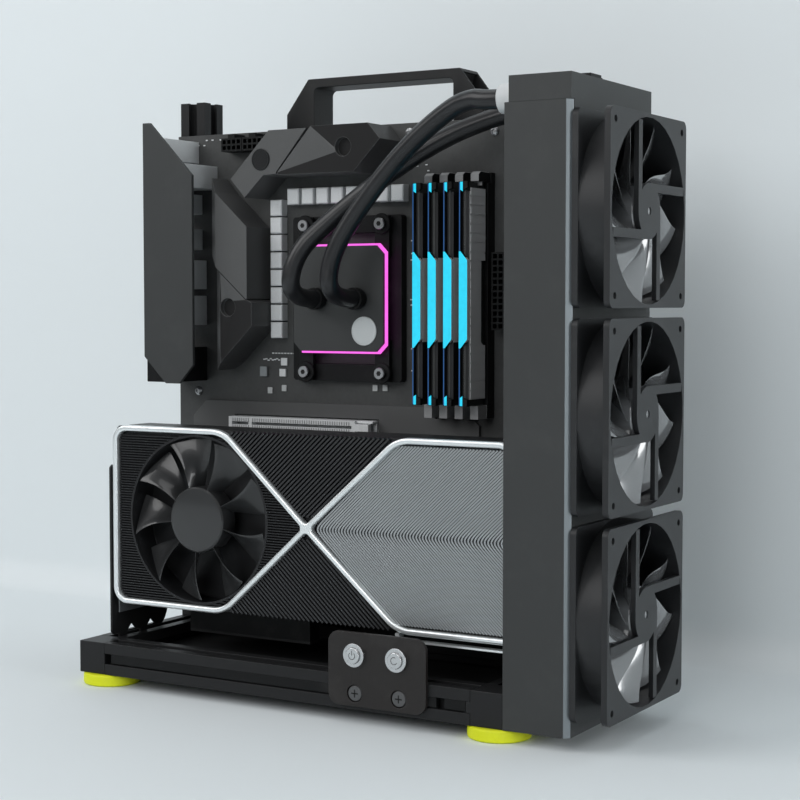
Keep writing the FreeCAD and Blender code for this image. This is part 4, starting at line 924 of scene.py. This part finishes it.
def hose(name, route):
    """A hose along a smooth curve through its route's control points."""
    curve = bpy.data.curves.new(name + "_skin", "CURVE")
    curve.dimensions = "3D"
    curve.resolution_u = 14
    curve.bevel_depth = HOSE_WIDTH / 2 * MM
    curve.bevel_resolution = 8
    curve.use_fill_caps = True
    spline = curve.splines.new("NURBS")
    spline.points.add(len(route) - 1)
    for point, place in zip(spline.points, route):
        point.co = (*at(*place), 1.0)
    spline.order_u = 3
    spline.use_endpoint_u = True
    piece = in_scene(name + "_skin", curve)
    curve.materials.append(HOSE)
    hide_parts(name)
    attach(piece, BENCH)


# Slats of the graphics card


def card_edges():
    """The card frame's outer edges in bench millimetres: left, right, bottom, top and middle."""
    low, high = corners("card_frame")
    bottom = high[2] - CARD_HEIGHT
    return low[0], high[0], bottom, high[2], (bottom + high[2]) / 2


def card_front():
    return corners("card_frame")[0][1]


def diagonal(level, side):
    """X of the frame's outer diagonal at a distance from the card's middle."""
    shoulder = CARD_SHOULDER_LEFT if side < 0 else CARD_SHOULDER_RIGHT
    tip = CARD_CROSS - CARD_TIP_OVERLAP * side
    return tip + (shoulder - tip) * level / (CARD_HEIGHT / 2)


def inset(outline, gap):
    """A convex outline with its edges moved inwards by a gap."""
    lines = []
    for start, end in zip(outline, outline[1:] + outline[:1]):
        along = (Vector(end) - Vector(start)).normalized()
        lines.append((Vector(start) + Vector((-along.y, along.x)) * gap, along))
    points = []
    for (p, u), (q, v) in zip(lines[-1:] + lines[:-1], lines):
        share = (q - p).cross(v) / u.cross(v)
        points.append(tuple(p + u * share))
    return points


def eased(outline, radii):
    """An outline whose corners are arcs of the given radii."""
    points = []
    count = len(outline)
    for index in range(count):
        corner = Vector(outline[index])
        into = (corner - Vector(outline[index - 1])).normalized()
        out = (Vector(outline[(index + 1) % count]) - corner).normalized()
        turn = into.angle_signed(out)
        if radii[index] < 0.05:
            points.append(tuple(corner))
            continue
        reach = radii[index] * math.tan(abs(turn) / 2)
        start = corner - into * reach
        side = -1.0 if turn > 0 else 1.0
        centre = start + Vector((-into.y, into.x)) * side * radii[index]
        arm = start - centre
        for step in range(13):
            angle = -turn * step / 12
            c, n = math.cos(angle), math.sin(angle)
            points.append((centre.x + arm.x * c - arm.y * n, centre.y + arm.x * n + arm.y * c))
    return points


def card_loops():
    """The outlines of the frame's two lobes, anticlockwise in X and Z."""
    left, right, bottom, top, middle = card_edges()
    tip = CARD_CROSS + CARD_TIP_OVERLAP
    waist = CARD_SHOULDER_LEFT
    first = [(left, bottom), (waist, bottom), (tip, middle), (waist, top), (left, top)]
    tip = CARD_CROSS - CARD_TIP_OVERLAP
    waist = CARD_SHOULDER_RIGHT
    second = [(tip, middle), (waist, bottom), (right, bottom), (right, top), (waist, top)]
    return first, second


def upright_box(x0, x1, z0, z1):
    return [(x0, z0), (x1, z0), (x1, z1), (x0, z1)]


def make_card_frame():
    """The silver frame as one rounded bead round both windows, and the lip under its right end."""
    _, right, bottom, _, middle = card_edges()
    front = card_front()
    first, second = card_loops()
    notch = 2.7
    low, high = (CARD_CROSS, middle - notch), (CARD_CROSS, middle + notch)
    outer = [*first[:2], low, *second[1:], high, *first[3:]]
    outlines = [
        eased(outer, (12.0, 27.0, 3.0, 27.0, 1.0, 12.0, 27.0, 3.0, 27.0, 12.0)),
        eased(inset(first, CARD_BEAD), (8.0, 23.0, 3.0, 23.0, 8.0)),
        eased(inset(second, CARD_BEAD), (3.0, 23.0, 1.0, 8.0, 23.0)),
    ]
    curve = bpy.data.curves.new("card_frame_skin", "CURVE")
    curve.dimensions = "2D"
    curve.fill_mode = "BOTH"
    curve.bevel_depth = CARD_BEAD_ROUND * MM
    curve.offset = -CARD_BEAD_ROUND * MM
    curve.bevel_resolution = 4
    curve.extrude = (CARD_DEPTH / 2 - CARD_BEAD_ROUND) * MM
    for outline in outlines:
        spline = curve.splines.new("POLY")
        spline.points.add(len(outline) - 1)
        spline.use_cyclic_u = True
        for point, (x, z) in zip(spline.points, outline):
            point.co = (x * MM, z * MM, 0.0, 1.0)
    work = in_scene("card_frame_curve", curve)
    graph = bpy.context.evaluated_depsgraph_get()
    mesh = bpy.data.meshes.new_from_object(work.evaluated_get(graph))
    bpy.data.objects.remove(work)
    upright = Matrix.Rotation(math.radians(90), 4, "X")
    mesh.transform(Matrix.Translation(at(0.0, front + CARD_DEPTH / 2, 0.0)) @ upright)
    piece = new_piece("card_frame_skin", mesh, SILVER)
    smooth_by_angle(mesh, 40)
    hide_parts("card_frame")
    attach(piece, BENCH)
    low = bottom - CARD_LIP_DROP
    left = CARD_SHOULDER_RIGHT
    tab = 3.0
    lip = [
        upright_box(left, right, low, low + CARD_LIP_SHEET),
        upright_box(right - tab, right, low + 1.0, bottom + 1.0),
        upright_box(left, left + tab, low + 1.0, bottom + 0.6),
    ]
    plates("card_frame_lip", lip, front, front + CARD_DEPTH, SILVER)
    floor = inset(second, CARD_BEAD + 3.2)
    plates("grille_floor", [floor], front + 5.2, front + 5.7, GRILLE_FLOOR)


def side_slats():
    """Level slats in the left window, which end at the fan's rim and at the frame."""
    left, _, bottom, top, middle = card_edges()
    half = (top - bottom) / 2
    y = card_front() + SLAT_SET_BACK
    lines = []
    for index in range(int((2 * half - 2 * CARD_FRAME_BAR - 1.0) / SIDE_FIN_PITCH)):
        z = bottom + CARD_FRAME_BAR + 1.2 + index * SIDE_FIN_PITCH
        level = abs(z - middle)
        past = max(0.0, level - (half - CARD_FRAME_BAR - CARD_CORNER))
        rounding = CARD_CORNER - math.sqrt(max(CARD_CORNER**2 - past**2, 0.0))
        start = left + CARD_FRAME_BAR + rounding + 0.2
        end = diagonal(level, -1) - CARD_FRAME_BAR * 1.55 - rounding
        spans = ((start, end),)
        if level < CARD_FAN_HOLE:
            chord = math.sqrt(CARD_FAN_HOLE**2 - level**2)
            spans = ((start, CARD_FAN_X - chord), (CARD_FAN_X + chord, end))
        lines += [[(x0, y, z), (x1, y, z)] for x0, x1 in spans if x1 - x0 > 1.5]
    bars("side_slats", lines, 3.1, 0.9, DARK_FIN)


def middle_slats(run):
    """Slanted slats above and below the cross, along the right window's edges."""
    _, _, bottom, top, middle = card_edges()
    half = (top - bottom) / 2
    y = card_front() + SLAT_SET_BACK
    back = (CARD_CROSS - CARD_SHOULDER_LEFT) / half
    reach = half - 1.5
    lines = []
    for index in range(1, int((CARD_SHOULDER_RIGHT - CARD_SHOULDER_LEFT) / MIDDLE_FIN_PITCH)):
        x = CARD_SHOULDER_RIGHT - 3.0 - index * MIDDLE_FIN_PITCH
        low = max((CARD_CROSS - 2.5 - x + run * reach) / (run + back), 7.5)
        if reach - low < 2.0:
            continue
        for side in (-1, 1):
            lines.append([(x, y, middle + side * reach), (x - run * (reach - low), y, middle + side * low)])
    bars("middle_slats", lines, 3.1, 1.3, RIB, nodes=("card_dark_fins",))


def grille_slats(run):
    """Bent slats in the right window. Each is a hyperbola, so its bend is smooth."""
    _, right, bottom, top, middle = card_edges()
    reach = (top - bottom) / 2 - CARD_FRAME_BAR - 0.9
    y = card_front() + 4.2
    start = CARD_CROSS + CARD_FRAME_BAR * 1.3 + 2.6
    last = right - CARD_FRAME_BAR - 0.4
    lines = []
    for index in range(int((last - start) / GRILLE_PITCH)):
        tip = start + index * GRILLE_PITCH - run * GRILLE_BEND
        limit = min(reach, (last - tip) / run)
        if limit < GRILLE_BEND * 2:
            continue
        levels = [limit * share for share in (1.0, 0.7, 0.45)] + [7.0, 5.0, 3.4, 2.2, 1.1]
        levels = [level for level in levels if level <= limit]
        levels = sorted(set(levels + [-level for level in levels] + [0.0]))
        lines.append([(tip + run * math.hypot(level, GRILLE_BEND), y, middle + level) for level in levels])
    bars("grille_slats", lines, 3.4, 1.15, LIGHT_FIN, nodes=("card_light_fins",))


def make_card_slats():
    _, _, bottom, top, _ = card_edges()
    run = (CARD_SHOULDER_RIGHT - CARD_CROSS) / ((top - bottom) / 2)
    side_slats()
    middle_slats(run)
    grille_slats(run)


# Small parts of the board


def make_board_details():
    """Chips, pads, small passive parts strewn in the free fields, and screw heads."""
    face = BOARD_FACE
    chips = brick("chip", 5.6, 1.6, 5.6, 0.25)
    copies("square_chips", chips, [(104.3, face - 0.8, 221.8), (102.9, face - 0.8, 213.7)], CHOKE)
    driver = brick("driver", 6.4, 2.4, 7.6, 0.3)
    copies("driver_chips", driver, [(86.3, face - 1.2, 214.4)], PORT_METAL)
    pad = brick("pad", 4.2, 1.0, 4.6, 0.2)
    middles = ((91.3, 200.4), (103.9, 202.3), (182.6, 204.3), (191.0, 204.6))
    places = [(x, face - 0.5, z) for x, z in middles]
    copies("board_pads", pad, places, PRINT)
    small = brick("passive", 1.7, 0.7, 0.9, 0.08)
    places = []
    chance = random.Random(7)
    for index in range(8):
        places.append((94.0 + index * 2.7, face - 0.35, 228.0))
        places.append((86.0 + index * 1.9, face - 0.35, 224.0 - chance.random() * 2))
    fields = ((212, 230, 205, 340, 40), (24, 52, 380, 388, 6), (214, 232, 356, 376, 10))
    for x0, x1, z0, z1, amount in fields:
        for index in range(amount):
            places.append((chance.uniform(x0, x1), face - 0.35, chance.uniform(z0, z1)))
    copies("passives", small, places, CHOKE)
    profile = ((0.0, 0.0), (0.0, 3.3), (0.5, 3.3), (1.5, 2.4), (1.8, 1.5), (0.9, 1.2), (0.9, 0.0))
    screw = lathe("screw_head", profile, 24)
    heads = [(24.9, face, 198.4), (210.6, face, 384.2), (222.7, face, 386.0), (278.0, face, 382.0)]
    copies("board_screws", screw, heads, STEEL, FACING_FRONT)


def make_memory_details():
    """The ribs on the last module's side, shorter at its waist."""
    x = corners("memory_spreaders")[1][0] + 0.15
    lines = []
    for index in range(23):
        z = 203.0 + index * 6.2
        back = 91.0 if 238.0 < z < 296.0 else 97.0
        lines.append([(x, 76.5, z), (x, back, z)])
    # The ribs take the spreader's grey with its painted light
    bars("spreader_ribs", lines, 0.3, 4.9, SPREADER_GREY_AND_PAINTED_LIGHT, facing=(1.0, 0.0, 0.0))


def make_memory_lights():
    """The light that shows on each bar: a thin blue line and three cyan windows."""
    lines = []
    windows = []
    for index in range(MODULE_COUNT):
        x = MODULE_LEFT + index * MODULE_PITCH
        right = x + MODULE_WIDTH
        lines.append(upright_box(x + 0.2, x + 0.9, 196.2, 345.4))
        start = [(x + 0.1, 234.6), (x + 1.3, 234.6), (right - 0.1, 240.6)]
        windows.append([*start, (right - 0.1, 293.4), (x + 1.3, 299.4), (x + 0.1, 299.4)])
        windows.append(((x + 1.0, 340.4), (x + 2.9, 339.2), (x + 2.9, 345.6), (x + 1.0, 345.6)))
        windows.append(((x + 1.0, 196.0), (x + 2.9, 196.0), (x + 2.9, 202.6), (x + 1.0, 201.4)))
    plates("memory_blue_lines", lines, 71.88, 72.02, BLUE)
    plates("memory_cyan_windows", windows, 71.84, 72.02, CYAN)


def make_bracket_screws():
    """The four sprung screws that hold the block's bracket, on the round ends of its legs."""
    ends = [(side, end) for side in (-1, 1) for end in (-1, 1)]
    places = [(BLOCK_X + BRACKET_REACH_X * u, 99.1, BLOCK_Z + BRACKET_REACH_Z * v) for u, v in ends]
    pad = lathe("bracket_pad", ((0.0, 0.0), (0.0, 7.4), (1.0, 7.4), (1.5, 6.9), (1.5, 0.0)), 40)
    copies("bracket_ends", pad, places, MOULDED, FACING_FRONT)
    coil = []
    for step in range(97):
        angle = 2 * math.pi * step / 24
        coil.append((3.3 * math.cos(angle), step / 96 * 1.6, 3.3 * math.sin(angle)))
    lines = [[(x + dx, y - 1.4 - dy, z + dz) for dx, dy, dz in coil] for x, y, z in places]
    bars("bracket_springs", lines, 0.5, 0.5, STEEL)
    head = lathe("sprung_head", ((2.9, 0.0), (2.9, 4.2), (4.2, 4.2), (4.6, 3.8), (4.6, 0.0)), 32)
    copies("bracket_screws", head, places, STEEL, FACING_FRONT)
    # Each head's hex drive is a thin dark hexagon on its face: painted shade standing in for the drive's
    # hollow
    drive = lathe("hex_drive_shade", ((4.5, 0.0), (4.5, 1.9), (4.62, 1.9), (4.62, 0.0)), 6)
    copies("bracket_screw_drives", drive, places, PAINTED_SHADE, FACING_FRONT)


def make_plate_screws():
    """The switch plate's two countersunk screws, whose crossed slots are thin bars of painted shade on their
    heads.
    """
    places = [(PLATE_X + PLATE_SCREW_REACH * side, -1.4, 11.4) for side in (-1, 1)]
    profile = ((0.0, 0.0), (0.0, 5.2), (0.7, 5.2), (1.1, 4.7), (1.3, 3.0), (1.3, 0.0))
    head = lathe("plate_screw", profile, 40)
    copies("plate_screws", head, places, DARK_STEEL, FACING_FRONT)
    # The slots are drawn as dark bars on the heads' faces: painted shade
    lines = []
    for x, y, z in places:
        lines.append([(x - 2.6, y - 1.3, z), (x + 2.6, y - 1.3, z)])
        lines.append([(x, y - 1.3, z - 2.6), (x, y - 1.3, z + 2.6)])
    bars("plate_screw_slots", lines, 0.1, 0.9, PAINTED_SHADE)


def make_card_ring():
    """The smooth rim round the card's front fan."""
    profile = ((0.0, 58.3), (0.0, 59.9), (0.3, 60.1), (3.2, 60.1), (3.2, 58.3), (0.0, 58.3))
    mesh = lathe("card_fan_rim", profile, 128)
    turn = Matrix.Rotation(math.radians(90), 4, "Z")
    mesh.transform(Matrix.Translation(at(CARD_FAN_X, 23.6, CARD_FAN_Z)) @ turn)
    piece = new_piece("card_fan_rim", mesh, DARK_FIN)
    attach(piece, BENCH)


def make_slot_contacts():
    """The contacts in both rows of the upper slot, left out at its key."""
    contact = brick("contact", 0.7, 1.6, 2.6, 0.0)
    places = []
    for index in range(CONTACT_COUNT):
        x = 66.0 + index * CONTACT_PITCH
        if not 80.0 < x < 84.0:
            places += [(x, 97.9, 173.6), (x, 97.9, 178.8)]
    copies("slot_contacts", contact, places, STEEL)


def make_core_fins():
    """The folded fins between the core's tubes, on its inner face."""
    low, high = corners("radiator_core")
    x = CORE_FACE + 0.55
    pitch = (high[1] - low[1]) / CORE_ROWS
    lines = []
    for row in range(CORE_ROWS):
        start = low[1] + row * pitch + 2.4
        end = low[1] + (row + 1) * pitch
        for index in range(CORE_FOLDS):
            z = 16.0 + index * CORE_FOLD_PITCH
            rise = 2.0 if index % 2 else -2.0
            lines.append([(x, start, z), (x, end, z + rise)])
    bars("core_fins", lines, 0.8, 0.35, BLACK_PAINT, facing=(1.0, 0.0, 0.0))


def make_badges():
    """The bare dark disc on the corner heatsink and the bare satin disc on the block."""
    for name, x, z, y, radius, surface in (
        ("corner_disc", 104.4, 367.8, 80.0, 7.7, BADGE),
        ("block_disc", 184.6, 245.2, 91.5, 10.3, DISC),
    ):
        rim = ((0.55, radius), (0.8, radius - 0.3), (0.8, radius - 0.9), (0.62, radius - 1.1))
        mesh = lathe(name, ((0.0, 0.0), (0.0, radius), *rim, (0.62, 0.0)), 64)
        mesh.transform(Matrix.Translation(at(x, y, z)) @ Matrix.Rotation(math.radians(-90), 4, "Z"))
        piece = new_piece(name, mesh, surface)
        if name == "block_disc":
            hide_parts("badges")
        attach(piece, BENCH)


def arc_line(x, y, z, radius, start, end, steps=20):
    """Points of an arc in the plane across Y, with angles from +X towards +Z in degrees."""
    points = []
    for step in range(steps + 1):
        angle = math.radians(start + (end - start) * step / steps)
        points.append((x + radius * math.cos(angle), y, z + radius * math.sin(angle)))
    return points


def make_button_marks():
    """A power sign on one cap and a plain ring on the other, as thin dark marks on their faces."""
    y = BUTTON_FACE - 0.02
    for name, x, sign in (("power_button", 236.15, True), ("reset_button", 267.95, False)):
        if sign:
            lines = [arc_line(x, y, BUTTON_Z, 2.3, 130, 410), [(x, y, 37.2), (x + 0.001, y, 40.3)]]
        else:
            lines = [arc_line(x, y, BUTTON_Z, 2.3, 60, 330)]
        bars(name + "_mark", lines, 0.06, 0.5, DARK_STEEL, body=body_of_node(name))


def make_dressed():
    for node, (surface, edge) in DRESSED.items():
        dress(node, surface, edge)


# Stage, lights and camera


def make_stage():
    """A pale floor that meets a pale wall close behind, in a small curve."""
    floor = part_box("feet")[0][2]
    foot = WALL - WALL_CURVE
    profile = [(-FLOOR_REACH, 0.0), (foot, 0.0)]
    for step in range(1, 9):
        angle = math.radians(90 * step / 8)
        profile.append((foot + WALL_CURVE * math.sin(angle), WALL_CURVE - WALL_CURVE * math.cos(angle)))
    profile.append((WALL, WALL_HEIGHT))
    sides = (-FLOOR_HALF_WIDTH, FLOOR_HALF_WIDTH)
    work = bmesh.new()
    rows = [[work.verts.new((x, along, floor + up)) for x in sides] for along, up in profile]
    for low, high in zip(rows, rows[1:]):
        work.faces.new((low[0], low[1], high[1], high[0]))
    # The same floor goes on behind the wall, for a look from the back
    behind = upright_box(*sides, foot, FLOOR_REACH)
    work.faces.new([work.verts.new((x, y, floor)) for x, y in behind])
    mesh = mesh_of(work, "paper_sweep", 40)
    paper = new_piece("paper_sweep", mesh, backdrop_finish())


def make_lights():
    """The area lights and a faint even light from all round."""
    for name, (place, target, size, power, color) in LIGHTS.items():
        data = bpy.data.lights.new(name, "AREA")
        data.shape = "RECTANGLE"
        data.size, data.size_y = size
        data.energy = power
        data.color = color
        lamp = in_scene(name, data)
        lamp.location = place
        lamp.rotation_euler = (Vector(target) - Vector(place)).to_track_quat("-Z", "Y").to_euler()
    world = bpy.data.worlds.new("studio")
    bpy.context.scene.world = world
    world.use_nodes = True
    sky = world.node_tree.nodes["Background"]
    sky.inputs["Color"].default_value = (0.93, 0.96, 1.0, 1.0)
    sky.inputs["Strength"].default_value = 0.12


def make_camera():
    data = bpy.data.cameras.new("photo_view")
    data.lens = CAMERA_LENS
    data.sensor_width = 36.0
    camera = in_scene("photo_view", data)
    camera.location = at(*CAMERA_PLACE)
    camera.rotation_euler = Euler((math.radians(90 - CAMERA_TILT), 0.0, math.radians(CAMERA_TURN)))
    bpy.context.scene.camera = camera
    bpy.context.scene.view_settings.view_transform = "Standard"


make_dressed()
make_rotors()
hose("front_hose", FRONT_HOSE_ROUTE)
hose("rear_hose", REAR_HOSE_ROUTE)
make_card_frame()
make_card_slats()
make_board_details()
make_memory_details()
make_memory_lights()
make_bracket_screws()
make_plate_screws()
make_card_ring()
make_slot_contacts()
make_core_fins()
make_badges()
make_button_marks()
make_stage()
make_lights()
make_camera()
